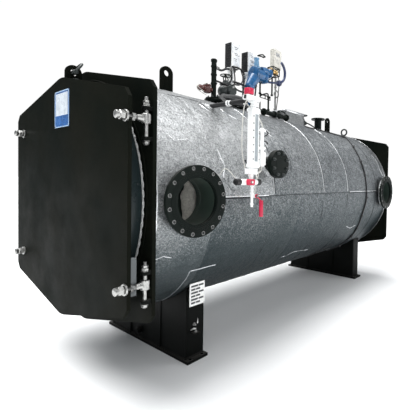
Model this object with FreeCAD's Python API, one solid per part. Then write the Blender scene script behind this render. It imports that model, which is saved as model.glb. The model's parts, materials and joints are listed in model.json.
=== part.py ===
"""Horizontal fire-tube boiler on two saddles, in millimetres.

X runs along the boiler from the front door to the rear plate, Z is up and the
nozzles and the level gauge are on the -Y side.  The origin is on the floor,
under the middle of the front saddle.
"""
import FreeCAD
import Part
import math
import os

Vector = FreeCAD.Vector
AXIS_X = Vector(1, 0, 0)
AXIS_Y = Vector(0, 1, 0)
AXIS_Z = Vector(0, 0, 1)

RUNNING_CLEARANCE = 0.05

# Shell and lagging
AXIS_HEIGHT = 1380
LAGGING_RADIUS = 960
SHELL_RADIUS = 866
SHELL_WALL = 14
SHELL_BORE_RADIUS = SHELL_RADIUS - SHELL_WALL
LAGGING_GAP = 2
SHELL_FRONT = -592
SHELL_REAR = 3500
OVERSHOOT = 400
FRONT_MAT_END = -110
REAR_MAT_START = 3030
NOZZLE_MAT_HALF_HEIGHT = 330

# Gabled end plates
PLATE_THICKNESS = 26
PLATE_HALF_WIDTH = 966
PLATE_CORNER = 775
PLATE_APEX = 990
CORNER_CHAMFER = 45
CROWN_RADIUS = 300
REAR_COVER_RADIUS = 870
REAR_EYE_Y = -150
REAR_EYE_RADIUS = 52
REAR_EYE_WIRE = 14
REAR_EYE_Z = 2400

# Front door
DOOR_FRONT = -780
DOOR_THICKNESS = 25
DOOR_BACK = DOOR_FRONT + DOOR_THICKNESS
DOOR_CORNER = 690
DOOR_APEX = 905
LINING_RADIUS = 880
LINING_REAR = -641
ROPE_REAR = -624
ROPE_OUTER_RADIUS = 890
ROPE_INNER_RADIUS = 860
HINGE_X = -655
HINGE_Y = -948
HINGE_PIN_RADIUS = 12
HINGE_EYE_RADIUS = 28
HINGE_EYE_HALF_HEIGHT = 30
HINGE_EAR_RADIUS = 26
HINGE_EAR_HALF_HEIGHT = 12
UPPER_EARS = (1780, 1968)
LOWER_EARS = (752, 935)
CLOSING_BOLT_Y = 795
UPPER_BOLT_Z = 1905
LOWER_BOLT_Z = 861
BOLT_RADIUS = 15
BOLT_HOLE_RADIUS = 17
BOLT_HEAD_RADIUS = 29
BOLT_HEAD_LENGTH = 58
WASHER_RADIUS = 36
WASHER_THICKNESS = 12
DOOR_LUG_TOP = 2393
DOOR_LUG_BOTTOM = 2190
SIGN_Y = (-147, 108)
SIGN_Z = (1905, 2178)
SIGN_THICKNESS = 3

# Saddles
REAR_SADDLE_X = 3127
SADDLE_HALF_LENGTH = 88
SADDLE_HALF_WIDTH = 605
SADDLE_POCKET_TOP = 1080
BASE_HALF_LENGTH = 105
BASE_HALF_WIDTH = 655
BASE_THICKNESS = 25
FOOT_HOLE_RADIUS = 14
FOOT_HOLE_X = 60
FOOT_HOLE_Y = 630
FOOT_SLOT_LENGTH = 60

# Flue nozzles on the -Y side
FRONT_NOZZLE_X = -320
REAR_NOZZLE_X = 3300
NOZZLE_FACE_Y = -1040
NOZZLE_PIPE_RADIUS = 177.8
NOZZLE_WALL = 8
NOZZLE_FLANGE_RADIUS = 252.5
NOZZLE_FLANGE_THICKNESS = 26
NOZZLE_BOLT_CIRCLE = 460
NOZZLE_HOLE_RADIUS = 11
NOZZLE_HOLE_COUNT = 16

# Blind nozzle on the -Y side
BLIND_X = 530
BLIND_Z = 1680
BLIND_FACE_Y = -1085
BLIND_RADIUS = 125
BLIND_THICKNESS = 24
BLIND_GASKET = 2
BLIND_NECK_RADIUS = 70
BLIND_ROOT_Y = -600

# Steam outlet on the ridge
OUTLET_X = 2879
OUTLET_TOP = 2552
OUTLET_FLANGE_RADIUS = 110
OUTLET_FLANGE_THICKNESS = 20
OUTLET_PIPE_RADIUS = 57.15
OUTLET_WALL = 6
OUTLET_BOLT_CIRCLE = 180
OUTLET_HOLE_RADIUS = 9
OUTLET_HOLE_COUNT = 8

# Flanged pads and lifting plates on the ridge
FRONT_PAD_X = 805
FRONT_PAD_RADIUS = 190
FRONT_PAD_TOP = 2425
REAR_PAD_X = 1195
REAR_PAD_RADIUS = 162
REAR_PAD_TOP = 2405
PAD_THICKNESS = 38
PAD_LIP = 45
LUG_FRONT_X = 103
LUG_REAR_X = 3182
LUG_TOP = 2613
LUG_FOOT = 2080
LUG_HALF_WIDTH = 65
LUG_THICKNESS = 30
LUG_EYE_RADIUS = 30

# Stop valve with its column, and the feed valve beside it
COLUMN_X = 690
COLUMN_RADIUS = 28
COLUMN_TOP = 2860
STOP_VALVE_X = 865
STOP_VALVE_Z = 2545
FEED_VALVE_X = 600
FEED_VALVE_Z = 2515

# Level probes: x and y of the neck, then bottom and top of the head
FRONT_PROBE = (1030, 100, 2870, 3170)
REAR_PROBE = (1275, 67, 2872, 3128)
PROBE_NECK_RADIUS = 27
PROBE_HEAD_FRONT = 32
PROBE_HEAD_LENGTH = 130
PROBE_HEAD_HALF_WIDTH = 67

# Safety valve with its easing lever
SAFETY_Y = -120
SAFETY_INLET_X = 1150
BARREL_START = 1185
BARREL_END = 1400
BARREL_Z = 2822
BARREL_RADIUS = 86
REAR_NECK_END = 1500
REAR_NECK_Z = 2892
REAR_NECK_RADIUS = 60
SAFETY_OUTLET_END = 1635
SAFETY_OUTLET_Z = 2935
SAFETY_OUTLET_RADIUS = 42
EASING_PIN_X = 1440
EASING_PIN_Z = 2775
EASING_HALF_WIDTH = 15
LEVER_PIN_RADIUS = 6
BALL_X = 1690
BALL_Z = 2822
BALL_RADIUS = 42

# Foil-clad hump and the pressure switch that stands on it
HUMP_X = (1830, 2240)
HUMP_HALF_WIDTH = 150
HUMP_TOP = 2500
SWITCH_X = (1775, 1945)
SWITCH_Y = (40, 115)
SWITCH_Z = (3080, 3350)
SWITCH_POST_RADIUS = 14

# Vent valve on the ridge
VENT_X = 2460
VENT_BODY_Z = 2425
VENT_WHEEL_Z = 2535
VENT_WHEEL_RADIUS = 62
VENT_RIM_RADIUS = 8

# Drain pipe beside the ridge
DRAIN_PIPE_Y = -330
DRAIN_PIPE_Z = 2330
DRAIN_PIPE_X = (1150, 1600)
DRAIN_PIPE_RADIUS = 26
DRAIN_FLANGE_RADIUS = 42
DRAIN_FLANGE_THICKNESS = 16

# Level gauge on the -Y side
GAUGE_X = 178
GAUGE_Y = -1080
GAUGE_BOTTOM = 1631
GAUGE_TOP = 2110
GAUGE_HALF_WIDTH = 42
GAUGE_HALF_DEPTH = 32
GAUGE_VALVE_Z = 1518
TOP_COCK_Z = 2190
TOP_BRANCH_Z = 2182
KNOB_X = 121
KNOB_RADIUS = 38
HANDLE_X = 111
LOW_BRANCH_X = 118
BRANCH_HOLE_RADIUS = 20
SPINDLE_RADIUS = 8
DRAIN_X = 173
DRAIN_BOTTOM = 1317
DRAIN_PIVOT_X = 205
DRAIN_PIVOT_Z = 1405
STANDPIPE_X = 305
STANDPIPE_Y = -1062
STANDPIPE_LINKS = (1800, 1945)

# Rating plate on the front saddle
RATING_X = (-100, 50)
RATING_Z = (485, 675)
RATING_STANDOFF = 57
RATING_THICKNESS = 6

parts = {}
jacket_holes = []


def box(x_range, y_range, z_range):
    """A box from three (low, high) pairs."""
    size = [high - low for low, high in (x_range, y_range, z_range)]
    corner = Vector(x_range[0], y_range[0], z_range[0])
    return Part.makeBox(size[0], size[1], size[2], corner)


def span(middle, half):
    """The (low, high) pair of a width about its middle."""
    return (middle - half, middle + half)


def rod(start, end, radius):
    """A round bar between two points."""
    a = Vector(*start)
    b = Vector(*end)
    return Part.makeCylinder(radius, (b - a).Length, a, b - a)


def upright(x, y, low, high, radius):
    """A round bar along Z."""
    return rod((x, y, low), (x, y, high), radius)


def taper(start, end, start_radius, end_radius):
    """A cone frustum between two points."""
    a = Vector(*start)
    b = Vector(*end)
    return Part.makeCone(start_radius, end_radius, (b - a).Length, a, b - a)


def bent_bar(centre, bend_radius, start_angle, sweep_angle, radius):
    """A round bar bent in the XZ plane; angles in degrees, from +X towards +Z, turning down."""
    start = math.radians(start_angle)
    along = Vector(math.cos(start), 0, math.sin(start))
    tangent = AXIS_Y.cross(along)
    place = Vector(*centre) + along * bend_radius
    disc = Part.Face(Part.Wire(Part.makeCircle(radius, place, tangent)))
    return disc.revolve(Vector(*centre), AXIS_Y, sweep_angle)


def fuse(*shapes):
    """All the shapes as one clean solid."""
    result = shapes[0].fuse(list(shapes[1:]))
    return result.removeSplitter()


def axis_cylinder(radius, x_start, x_end):
    """A cylinder around the boiler's own axis."""
    return rod((x_start, 0, AXIS_HEIGHT), (x_end, 0, AXIS_HEIGHT), radius)


def long_cylinder(radius):
    """A cylinder around the boiler's axis that runs out past both ends."""
    return axis_cylinder(radius, SHELL_FRONT - OVERSHOOT, SHELL_REAR + OVERSHOOT)


def seat_on_shell(shape):
    """The shape with everything inside the steel shell's outside taken away."""
    return shape.cut(long_cylinder(SHELL_RADIUS))


def hole_circle(centre, axis, circle, hole_radius, count, depth):
    """Round holes on a bolt circle, with the first half a step off the axis' side."""
    normal = Vector(*axis)
    other = normal.cross(AXIS_X)
    holes = []
    for index in range(count):
        angle = 2 * math.pi * (index + 0.5) / count
        offset = AXIS_X * math.cos(angle) + other * math.sin(angle)
        place = Vector(*centre) + offset * (circle / 2)
        holes.append(Part.makeCylinder(hole_radius, depth, place, normal))
    return Part.makeCompound(holes)


def gabled_plate(corner, apex, x_start, thickness):
    """A plate with upright sides and a shallow gable at its top and its bottom."""
    slope = math.atan2(apex - corner, PLATE_HALF_WIDTH)
    reach = CROWN_RADIUS * math.tan(slope)
    drop = CROWN_RADIUS / math.cos(slope) - CROWN_RADIUS
    side = (PLATE_HALF_WIDTH, corner - CORNER_CHAMFER)
    shoulder_y = PLATE_HALF_WIDTH - CORNER_CHAMFER * math.cos(slope)
    shoulder = (shoulder_y, corner + CORNER_CHAMFER * math.sin(slope))
    crown = (reach * math.cos(slope), apex - reach * math.sin(slope))

    def place(point, y_sign, z_sign):
        return Vector(x_start, y_sign * point[0], AXIS_HEIGHT + z_sign * point[1])

    edges = []
    for z_sign in (1, -1):
        middle = place((0, apex - drop), 1, z_sign)
        arc = Part.Arc(place(crown, 1, z_sign), middle, place(crown, -1, z_sign))
        edges.append(arc.toShape())
        for y_sign in (1, -1):
            edges.append(Part.makeLine(place(side, y_sign, z_sign), place(shoulder, y_sign, z_sign)))
            edges.append(Part.makeLine(place(shoulder, y_sign, z_sign), place(crown, y_sign, z_sign)))
    for y_sign in (1, -1):
        edges.append(Part.makeLine(place(side, y_sign, 1), place(side, y_sign, -1)))
    outline = Part.Wire(Part.__sortEdges__(edges))
    return Part.Face(outline).extrude(Vector(thickness, 0, 0))


def lifting_plate(x_middle, half_width, bottom, top, thickness, eye_radius):
    """An upright plate across Y with a round head and an eye."""
    head = top - half_width
    half = thickness / 2
    foot = box(span(x_middle, half_width), (-half, half), (bottom, head))
    cap = rod((x_middle, -half, head), (x_middle, half, head), half_width)
    eye = rod((x_middle, -thickness, head), (x_middle, thickness, head), eye_radius)
    return fuse(foot, cap).cut(eye)


def make_shell():
    """The steel shell, open at both ends, with the flue and steam holes cut through it."""
    shell = axis_cylinder(SHELL_RADIUS, SHELL_FRONT, SHELL_REAR).cut(long_cylinder(SHELL_BORE_RADIUS))
    for x in (FRONT_NOZZLE_X, REAR_NOZZLE_X):
        start = (x, NOZZLE_FACE_Y, AXIS_HEIGHT)
        end = (x, -SHELL_BORE_RADIUS / 2, AXIS_HEIGHT)
        shell = shell.cut(rod(start, end, NOZZLE_PIPE_RADIUS))
        jacket_holes.append(rod(start, end, NOZZLE_PIPE_RADIUS + LAGGING_GAP))
    shell = shell.cut(upright(OUTLET_X, 0, AXIS_HEIGHT, OUTLET_TOP, OUTLET_PIPE_RADIUS))
    parts["pressure_shell"] = shell


def make_end_plates():
    """The gabled tube plates, the rear cover and the rear plate's lifting eye."""
    front_x = SHELL_FRONT - PLATE_THICKNESS
    front_plate = gabled_plate(PLATE_CORNER, PLATE_APEX, front_x, PLATE_THICKNESS)
    for z in (UPPER_BOLT_Z, LOWER_BOLT_Z):
        start = (front_x - 1, CLOSING_BOLT_Y, z)
        end = (SHELL_FRONT + 1, CLOSING_BOLT_Y, z)
        front_plate = front_plate.cut(rod(start, end, BOLT_HOLE_RADIUS))
    rear_plate = gabled_plate(PLATE_CORNER, PLATE_APEX, SHELL_REAR, PLATE_THICKNESS)
    cover_x = SHELL_REAR + PLATE_THICKNESS
    eye_x = SHELL_REAR + PLATE_THICKNESS / 2
    loop = Part.makeTorus(REAR_EYE_RADIUS, REAR_EYE_WIRE, Vector(eye_x, REAR_EYE_Y, REAR_EYE_Z), AXIS_X)
    stem = upright(eye_x, REAR_EYE_Y, AXIS_HEIGHT, REAR_EYE_Z - REAR_EYE_RADIUS, REAR_EYE_WIRE - 2)
    parts["front_tube_plate"] = front_plate
    parts["rear_tube_plate"] = rear_plate
    parts["rear_cover"] = axis_cylinder(REAR_COVER_RADIUS, cover_x, cover_x + DOOR_THICKNESS)
    parts["rear_lifting_eye"] = fuse(loop, stem).cut(rear_plate)


def make_saddles():
    """Two black box saddles on bolted base plates."""
    shell = long_cylinder(SHELL_RADIUS)
    for name, middle in (("front", 0), ("rear", REAR_SADDLE_X)):
        length = span(middle, SADDLE_HALF_LENGTH)
        leg = box(length, span(0, SADDLE_HALF_WIDTH), (BASE_THICKNESS, AXIS_HEIGHT)).cut(shell)
        parts[name + "_saddle"] = max(leg.Solids, key=lambda solid: solid.Volume)
        base_length = span(middle, BASE_HALF_LENGTH)
        base = box(base_length, span(0, BASE_HALF_WIDTH), (0, BASE_THICKNESS))
        for y_sign in (1, -1):
            for x_sign in (1, -1):
                x = middle + x_sign * FOOT_HOLE_X
                base = base.cut(foot_hole(x, y_sign * FOOT_HOLE_Y, name == "rear"))
        parts[name + "_saddle_base"] = base
        pocket_length = span(middle, SADDLE_HALF_LENGTH + LAGGING_GAP)
        pocket_width = span(0, SADDLE_HALF_WIDTH + LAGGING_GAP)
        jacket_holes.append(box(pocket_length, pocket_width, (0, SADDLE_POCKET_TOP)))


def foot_hole(x, y, slotted):
    """A round anchor hole, or a slot along X that lets the rear end grow."""
    low = -1
    high = BASE_THICKNESS + 1
    if not slotted:
        return upright(x, y, low, high, FOOT_HOLE_RADIUS)
    half = FOOT_SLOT_LENGTH / 2 - FOOT_HOLE_RADIUS
    ends = [upright(x + sign * half, y, low, high, FOOT_HOLE_RADIUS) for sign in (1, -1)]
    middle = box(span(x, half), span(y, FOOT_HOLE_RADIUS), (low, high))
    return fuse(ends[0], middle, ends[1])


def make_flue_nozzles():
    """The two open flue nozzles."""
    inside = long_cylinder(SHELL_BORE_RADIUS)
    root_y = -SHELL_BORE_RADIUS / 2
    back_y = NOZZLE_FACE_Y + NOZZLE_FLANGE_THICKNESS
    for name, x in (("front", FRONT_NOZZLE_X), ("rear", REAR_NOZZLE_X)):
        face = (x, NOZZLE_FACE_Y, AXIS_HEIGHT)
        back = (x, back_y, AXIS_HEIGHT)
        root = (x, root_y, AXIS_HEIGHT)
        pipe = rod(back, root, NOZZLE_PIPE_RADIUS)
        flange = rod(face, back, NOZZLE_FLANGE_RADIUS)
        bore = rod((x, NOZZLE_FACE_Y - 1, AXIS_HEIGHT), root, NOZZLE_PIPE_RADIUS - NOZZLE_WALL)
        depth = NOZZLE_FLANGE_THICKNESS + 1
        holes = hole_circle(face, (0, 1, 0), NOZZLE_BOLT_CIRCLE, NOZZLE_HOLE_RADIUS, NOZZLE_HOLE_COUNT, depth)
        parts[name + "_flue_nozzle"] = fuse(pipe, flange).cut(bore).cut(inside).cut(holes)


def make_blind_nozzle():
    """A flanged nozzle closed by a blind flange over a gasket."""
    levels = [BLIND_FACE_Y, BLIND_FACE_Y + BLIND_THICKNESS]
    levels.append(levels[1] + BLIND_GASKET)
    levels.append(levels[2] + BLIND_THICKNESS)
    places = [(BLIND_X, y, BLIND_Z) for y in levels]
    cover = rod(places[0], places[1], BLIND_RADIUS)
    gasket = rod(places[1], places[2], BLIND_RADIUS - 25)
    flange = rod(places[2], places[3], BLIND_RADIUS)
    root = (BLIND_X, BLIND_ROOT_Y, BLIND_Z)
    neck = rod(places[3], root, BLIND_NECK_RADIUS)
    parts["blind_nozzle"] = seat_on_shell(fuse(cover, gasket, flange, neck))
    jacket_holes.append(rod(places[0], root, BLIND_NECK_RADIUS + LAGGING_GAP))


def make_steam_outlet():
    """The flanged steam stub on the ridge."""
    back = OUTLET_TOP - OUTLET_FLANGE_THICKNESS
    pipe = upright(OUTLET_X, 0, AXIS_HEIGHT, back, OUTLET_PIPE_RADIUS)
    flange = upright(OUTLET_X, 0, back, OUTLET_TOP, OUTLET_FLANGE_RADIUS)
    bore = upright(OUTLET_X, 0, AXIS_HEIGHT, OUTLET_TOP + 1, OUTLET_PIPE_RADIUS - OUTLET_WALL)
    centre = (OUTLET_X, 0, back - 1)
    depth = OUTLET_FLANGE_THICKNESS + 2
    holes = hole_circle(centre, (0, 0, 1), OUTLET_BOLT_CIRCLE, OUTLET_HOLE_RADIUS, OUTLET_HOLE_COUNT, depth)
    stub = fuse(pipe, flange).cut(bore).cut(holes)
    parts["steam_outlet"] = stub.cut(long_cylinder(SHELL_BORE_RADIUS))
    jacket_holes.append(upright(OUTLET_X, 0, AXIS_HEIGHT, OUTLET_TOP, OUTLET_PIPE_RADIUS + LAGGING_GAP))


def make_door():
    """The front door with its lining, rope seal, bolts, lifting plate and sign."""
    door = gabled_plate(DOOR_CORNER, DOOR_APEX, DOOR_FRONT, DOOR_THICKNESS)
    through = (DOOR_FRONT - 1, DOOR_BACK + 1)
    bolts = []
    for z in (UPPER_BOLT_Z, LOWER_BOLT_Z):
        slot_y = (-PLATE_HALF_WIDTH - 1, HINGE_Y)
        door = door.cut(box(through, slot_y, span(z, BOLT_HOLE_RADIUS)))
        for y in (HINGE_Y, CLOSING_BOLT_Y):
            door = door.cut(rod((through[0], y, z), (through[1], y, z), BOLT_HOLE_RADIUS))
        bolts.append(hinge_bolt(z))
        bolts.append(door_bolt(CLOSING_BOLT_Y, z, ROPE_REAR))
    lug_x = (DOOR_BACK + LINING_REAR) / 2
    lug = lifting_plate(lug_x, (LINING_REAR - DOOR_BACK) / 2, DOOR_LUG_BOTTOM, DOOR_LUG_TOP, 25, 24)
    pocket = box((DOOR_BACK, LINING_REAR + 1), span(0, 13.5), (DOOR_LUG_BOTTOM - 1, DOOR_LUG_TOP))
    lining = axis_cylinder(LINING_RADIUS, DOOR_BACK, LINING_REAR)
    rope = axis_cylinder(ROPE_OUTER_RADIUS, LINING_REAR, ROPE_REAR)
    parts["door_plate"] = door
    parts["door_lining"] = lining.cut(pocket)
    parts["door_rope_seal"] = rope.cut(long_cylinder(ROPE_INNER_RADIUS))
    parts["door_bolts"] = Part.makeCompound(bolts)
    parts["door_lifting_lug"] = lug
    parts["door_sign"] = box((DOOR_FRONT - SIGN_THICKNESS, DOOR_FRONT), SIGN_Y, SIGN_Z)


def door_bolt(y, z, shank_end):
    """A door bolt: a tall round head, a washer and a shank that runs back to shank_end."""
    washer_front = DOOR_FRONT - WASHER_THICKNESS
    head = rod((washer_front - BOLT_HEAD_LENGTH, y, z), (washer_front, y, z), BOLT_HEAD_RADIUS)
    washer = rod((washer_front, y, z), (DOOR_FRONT, y, z), WASHER_RADIUS)
    shank = rod((DOOR_FRONT, y, z), (shank_end, y, z), BOLT_RADIUS)
    return fuse(head, washer, shank)


def hinge_bolt(z):
    """A door bolt that ends in an eye around its hinge pin."""
    low = z - HINGE_EYE_HALF_HEIGHT
    high = z + HINGE_EYE_HALF_HEIGHT
    eye = upright(HINGE_X, HINGE_Y, low, high, HINGE_EYE_RADIUS)
    bore = upright(HINGE_X, HINGE_Y, low - 1, high + 1, HINGE_PIN_RADIUS + RUNNING_CLEARANCE)
    return fuse(door_bolt(HINGE_Y, z, HINGE_X), eye).cut(bore)


def make_hinge_supports():
    """The hinge pins with their nuts, and the ears on the tube plate that hold them."""
    plate_x = SHELL_FRONT - PLATE_THICKNESS
    pins = []
    ears = []
    for low, high in (UPPER_EARS, LOWER_EARS):
        pin = upright(HINGE_X, HINGE_Y, low - 40, high + 72, HINGE_PIN_RADIUS)
        nut = upright(HINGE_X, HINGE_Y, high + HINGE_EAR_HALF_HEIGHT + 1, high + 38, 22)
        pins.append(fuse(pin, nut))
        for level in (low, high):
            bottom = level - HINGE_EAR_HALF_HEIGHT
            top = level + HINGE_EAR_HALF_HEIGHT
            tip = upright(HINGE_X, HINGE_Y, bottom, top, HINGE_EAR_RADIUS)
            web = box((HINGE_X, plate_x), (HINGE_Y - 14, HINGE_Y + HINGE_EAR_RADIUS), (bottom, top))
            hole = upright(HINGE_X, HINGE_Y, bottom - 1, top + 1, HINGE_PIN_RADIUS)
            ears.append(fuse(tip, web).cut(hole))
    parts["hinge_pins"] = Part.makeCompound(pins)
    parts["hinge_ears"] = Part.makeCompound(ears)


def make_ridge_pads():
    """The two flanged pads and the two lifting plates."""
    pads = (
        ("front_pad", FRONT_PAD_X, FRONT_PAD_RADIUS, FRONT_PAD_TOP),
        ("rear_pad", REAR_PAD_X, REAR_PAD_RADIUS, REAR_PAD_TOP),
    )
    for name, x, radius, top in pads:
        disc = upright(x, 0, top - PAD_THICKNESS, top, radius)
        neck = upright(x, 0, AXIS_HEIGHT, top - PAD_THICKNESS, radius - PAD_LIP)
        parts[name] = seat_on_shell(fuse(disc, neck))
        jacket_holes.append(upright(x, 0, AXIS_HEIGHT, top, radius - PAD_LIP + LAGGING_GAP))
    lugs = []
    for x in (LUG_FRONT_X, LUG_REAR_X):
        plate = lifting_plate(x, LUG_HALF_WIDTH, LUG_FOOT, LUG_TOP, LUG_THICKNESS, LUG_EYE_RADIUS)
        lugs.append(seat_on_shell(plate))
        slot_x = span(x, LUG_HALF_WIDTH + LAGGING_GAP)
        slot_y = span(0, LUG_THICKNESS / 2 + LAGGING_GAP)
        jacket_holes.append(box(slot_x, slot_y, (LUG_FOOT, LUG_TOP)))
    parts["lifting_lugs"] = Part.makeCompound(lugs)


def make_stop_valve():
    """The stop valve and the tall column on the front pad, and the feed valve at their side."""
    column = upright(COLUMN_X, 0, FRONT_PAD_TOP, COLUMN_TOP, COLUMN_RADIUS)
    body = Part.makeSphere(92, Vector(STOP_VALVE_X, 0, STOP_VALVE_Z))
    foot = upright(STOP_VALVE_X, 0, FRONT_PAD_TOP, STOP_VALVE_Z - 65, 62)
    bonnet = upright(STOP_VALVE_X, 0, STOP_VALVE_Z + 65, STOP_VALVE_Z + 127, 48)
    arm = rod((COLUMN_X, 0, FEED_VALVE_Z), (FEED_VALVE_X, 0, FEED_VALVE_Z), 26)
    barrel = upright(FEED_VALVE_X, 0, FEED_VALVE_Z - 45, FEED_VALVE_Z + 45, 42)
    cap = rod((FEED_VALVE_X, 0, FEED_VALVE_Z), (FEED_VALVE_X - 120, 0, FEED_VALVE_Z - 10), 34)
    parts["stop_valve_column"] = column
    parts["stop_valve"] = fuse(body, foot, bonnet)
    parts["feed_valve"] = fuse(arm, barrel, cap).cut(column)


def make_level_probes():
    """Two level probes: a neck that widens upwards under a tall box-shaped head."""
    necks = []
    heads = []
    for probe, foot_z in ((FRONT_PROBE, AXIS_HEIGHT), (REAR_PROBE, REAR_PAD_TOP)):
        x, y, low, high = probe
        stem = upright(x, y, foot_z, low, PROBE_NECK_RADIUS)
        cone = taper((x, y, low - 90), (x, y, low), PROBE_NECK_RADIUS + 3, 48)
        necks.append(seat_on_shell(fuse(stem, cone)))
        head_x = (x - PROBE_HEAD_FRONT, x - PROBE_HEAD_FRONT + PROBE_HEAD_LENGTH)
        heads.append(box(head_x, span(y, PROBE_HEAD_HALF_WIDTH), (low, high)))
    parts["level_probe_necks"] = Part.makeCompound(necks)
    parts["level_probe_boxes"] = Part.makeCompound(heads)
    x, y, low, high = FRONT_PROBE
    jacket_holes.append(upright(x, y, AXIS_HEIGHT, low, PROBE_NECK_RADIUS + LAGGING_GAP))


def make_safety_valve():
    """The safety valve with its bonnet, its outlet and the easing lever that turns on its pin."""
    y = SAFETY_Y
    inlet = upright(SAFETY_INLET_X, y, REAR_PAD_TOP, 2660, 30)
    elbow = taper((1110, y, 2630), (1215, y, 2770), 46, 74)
    barrel = rod((BARREL_START, y, BARREL_Z), (BARREL_END, y, BARREL_Z), BARREL_RADIUS)
    rear_neck = rod((1330, y, REAR_NECK_Z), (REAR_NECK_END, y, REAR_NECK_Z), REAR_NECK_RADIUS)
    bonnet = upright(1250, y, 2840, 3045, 32)
    cheek_x = (BARREL_END - 20, EASING_PIN_X + 14)
    cheek_z = span(EASING_PIN_Z, 16)
    near_cheek = box(cheek_x, (y - 34, y - 22), cheek_z)
    far_cheek = box(cheek_x, (y + 22, y + 34), cheek_z)
    pin = rod((EASING_PIN_X, y - 34, EASING_PIN_Z), (EASING_PIN_X, y + 34, EASING_PIN_Z), LEVER_PIN_RADIUS)
    parts["safety_valve_body"] = fuse(inlet, elbow, barrel, rear_neck, bonnet, near_cheek, far_cheek, pin)
    outlet_start = (REAR_NECK_END, y, SAFETY_OUTLET_Z)
    outlet_end = (SAFETY_OUTLET_END, y, SAFETY_OUTLET_Z)
    parts["safety_valve_outlet"] = rod(outlet_start, outlet_end, SAFETY_OUTLET_RADIUS)
    hub_start = (EASING_PIN_X, y - EASING_HALF_WIDTH, EASING_PIN_Z)
    hub_end = (EASING_PIN_X, y + EASING_HALF_WIDTH, EASING_PIN_Z)
    hub = rod(hub_start, hub_end, 17)
    arm = rod((EASING_PIN_X, y, EASING_PIN_Z), (BALL_X, y, BALL_Z), 13)
    bore = rod(
        (EASING_PIN_X, y - 40, EASING_PIN_Z),
        (EASING_PIN_X, y + 40, EASING_PIN_Z),
        LEVER_PIN_RADIUS + RUNNING_CLEARANCE,
    )
    ball = Part.makeSphere(BALL_RADIUS, Vector(BALL_X, y, BALL_Z))
    handle = bent_bar((BALL_X - 15, y, BALL_Z + 152), 143, 66, 150, 17)
    parts["safety_valve_lever"] = fuse(fuse(arm, hub).cut(bore), ball).fuse(handle)


def make_lagged_hump():
    """The foil-clad hump over a covered nozzle, and the pressure switch that stands on it."""
    hump = box(HUMP_X, span(0, HUMP_HALF_WIDTH), (AXIS_HEIGHT, HUMP_TOP))
    parts["lagged_hump"] = hump.cut(long_cylinder(LAGGING_RADIUS))
    post_x = sum(SWITCH_X) / 2
    post_y = sum(SWITCH_Y) / 2
    post = upright(post_x, post_y, HUMP_TOP, SWITCH_Z[0], SWITCH_POST_RADIUS)
    parts["pressure_switch"] = fuse(post, box(SWITCH_X, SWITCH_Y, SWITCH_Z))


def make_vent_valve():
    """A small vent valve with a spindle and a hand wheel that turns on it."""
    stub = upright(VENT_X, 0, AXIS_HEIGHT, VENT_BODY_Z, 22)
    body = rod((VENT_X - 55, 0, VENT_BODY_Z), (VENT_X + 55, 0, VENT_BODY_Z), 30)
    bonnet = upright(VENT_X, 0, VENT_BODY_Z, VENT_BODY_Z + 55, 20)
    spindle = upright(VENT_X, 0, VENT_BODY_Z, VENT_WHEEL_Z + 18, SPINDLE_RADIUS)
    parts["vent_valve"] = seat_on_shell(fuse(stub, body, bonnet, spindle))
    jacket_holes.append(upright(VENT_X, 0, AXIS_HEIGHT, VENT_BODY_Z, 22 + LAGGING_GAP))
    rim_circle = VENT_WHEEL_RADIUS - VENT_RIM_RADIUS
    rim = Part.makeTorus(rim_circle, VENT_RIM_RADIUS, Vector(VENT_X, 0, VENT_WHEEL_Z), AXIS_Z)
    hub = upright(VENT_X, 0, VENT_WHEEL_Z - 11, VENT_WHEEL_Z + 11, 17)
    spokes = []
    for index in range(3):
        angle = 2 * math.pi * index / 3
        tip = (VENT_X + rim_circle * math.cos(angle), rim_circle * math.sin(angle), VENT_WHEEL_Z)
        spokes.append(rod((VENT_X, 0, VENT_WHEEL_Z), tip, 5))
    bore = upright(VENT_X, 0, VENT_WHEEL_Z - 20, VENT_WHEEL_Z + 20, SPINDLE_RADIUS + RUNNING_CLEARANCE)
    parts["vent_handwheel"] = fuse(rim, hub, *spokes).cut(bore)


def make_drain_pipe():
    """A flanged drain pipe that lies beside the ridge and drops into the shell."""
    start_x, end_x = DRAIN_PIPE_X
    line = [(start_x, DRAIN_PIPE_Y, DRAIN_PIPE_Z), (end_x, DRAIN_PIPE_Y, DRAIN_PIPE_Z)]
    pipe = rod(line[0], line[1], DRAIN_PIPE_RADIUS)
    flanges = []
    for x in (start_x, start_x + 190, end_x - DRAIN_FLANGE_THICKNESS):
        face = (x, DRAIN_PIPE_Y, DRAIN_PIPE_Z)
        back = (x + DRAIN_FLANGE_THICKNESS, DRAIN_PIPE_Y, DRAIN_PIPE_Z)
        flanges.append(rod(face, back, DRAIN_FLANGE_RADIUS))
    drop_x = (start_x + end_x) / 2
    drop = upright(drop_x, DRAIN_PIPE_Y, AXIS_HEIGHT, DRAIN_PIPE_Z, 18)
    parts["drain_pipe"] = seat_on_shell(fuse(pipe, drop, *flanges))
    jacket_holes.append(upright(drop_x, DRAIN_PIPE_Y, AXIS_HEIGHT, DRAIN_PIPE_Z, BRANCH_HOLE_RADIUS))


def make_gauge_column():
    """The gauge's long body and the thin standpipe beside it."""
    x_range = span(GAUGE_X, GAUGE_HALF_WIDTH)
    column = box(x_range, span(GAUGE_Y, GAUGE_HALF_DEPTH), (GAUGE_BOTTOM, GAUGE_TOP))
    corners = [edge for edge in column.Edges if abs(edge.Vertexes[0].Z - edge.Vertexes[1].Z) > 1]
    parts["level_gauge"] = column.makeFillet(14, corners)
    stand = upright(STANDPIPE_X, STANDPIPE_Y, GAUGE_BOTTOM + 19, STANDPIPE_LINKS[1] + 25, 17)
    links = []
    for z in STANDPIPE_LINKS:
        start = (x_range[1], STANDPIPE_Y, z)
        links.append(rod(start, (STANDPIPE_X, STANDPIPE_Y, z), 9))
    parts["gauge_standpipe"] = fuse(stand, *links)


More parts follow.
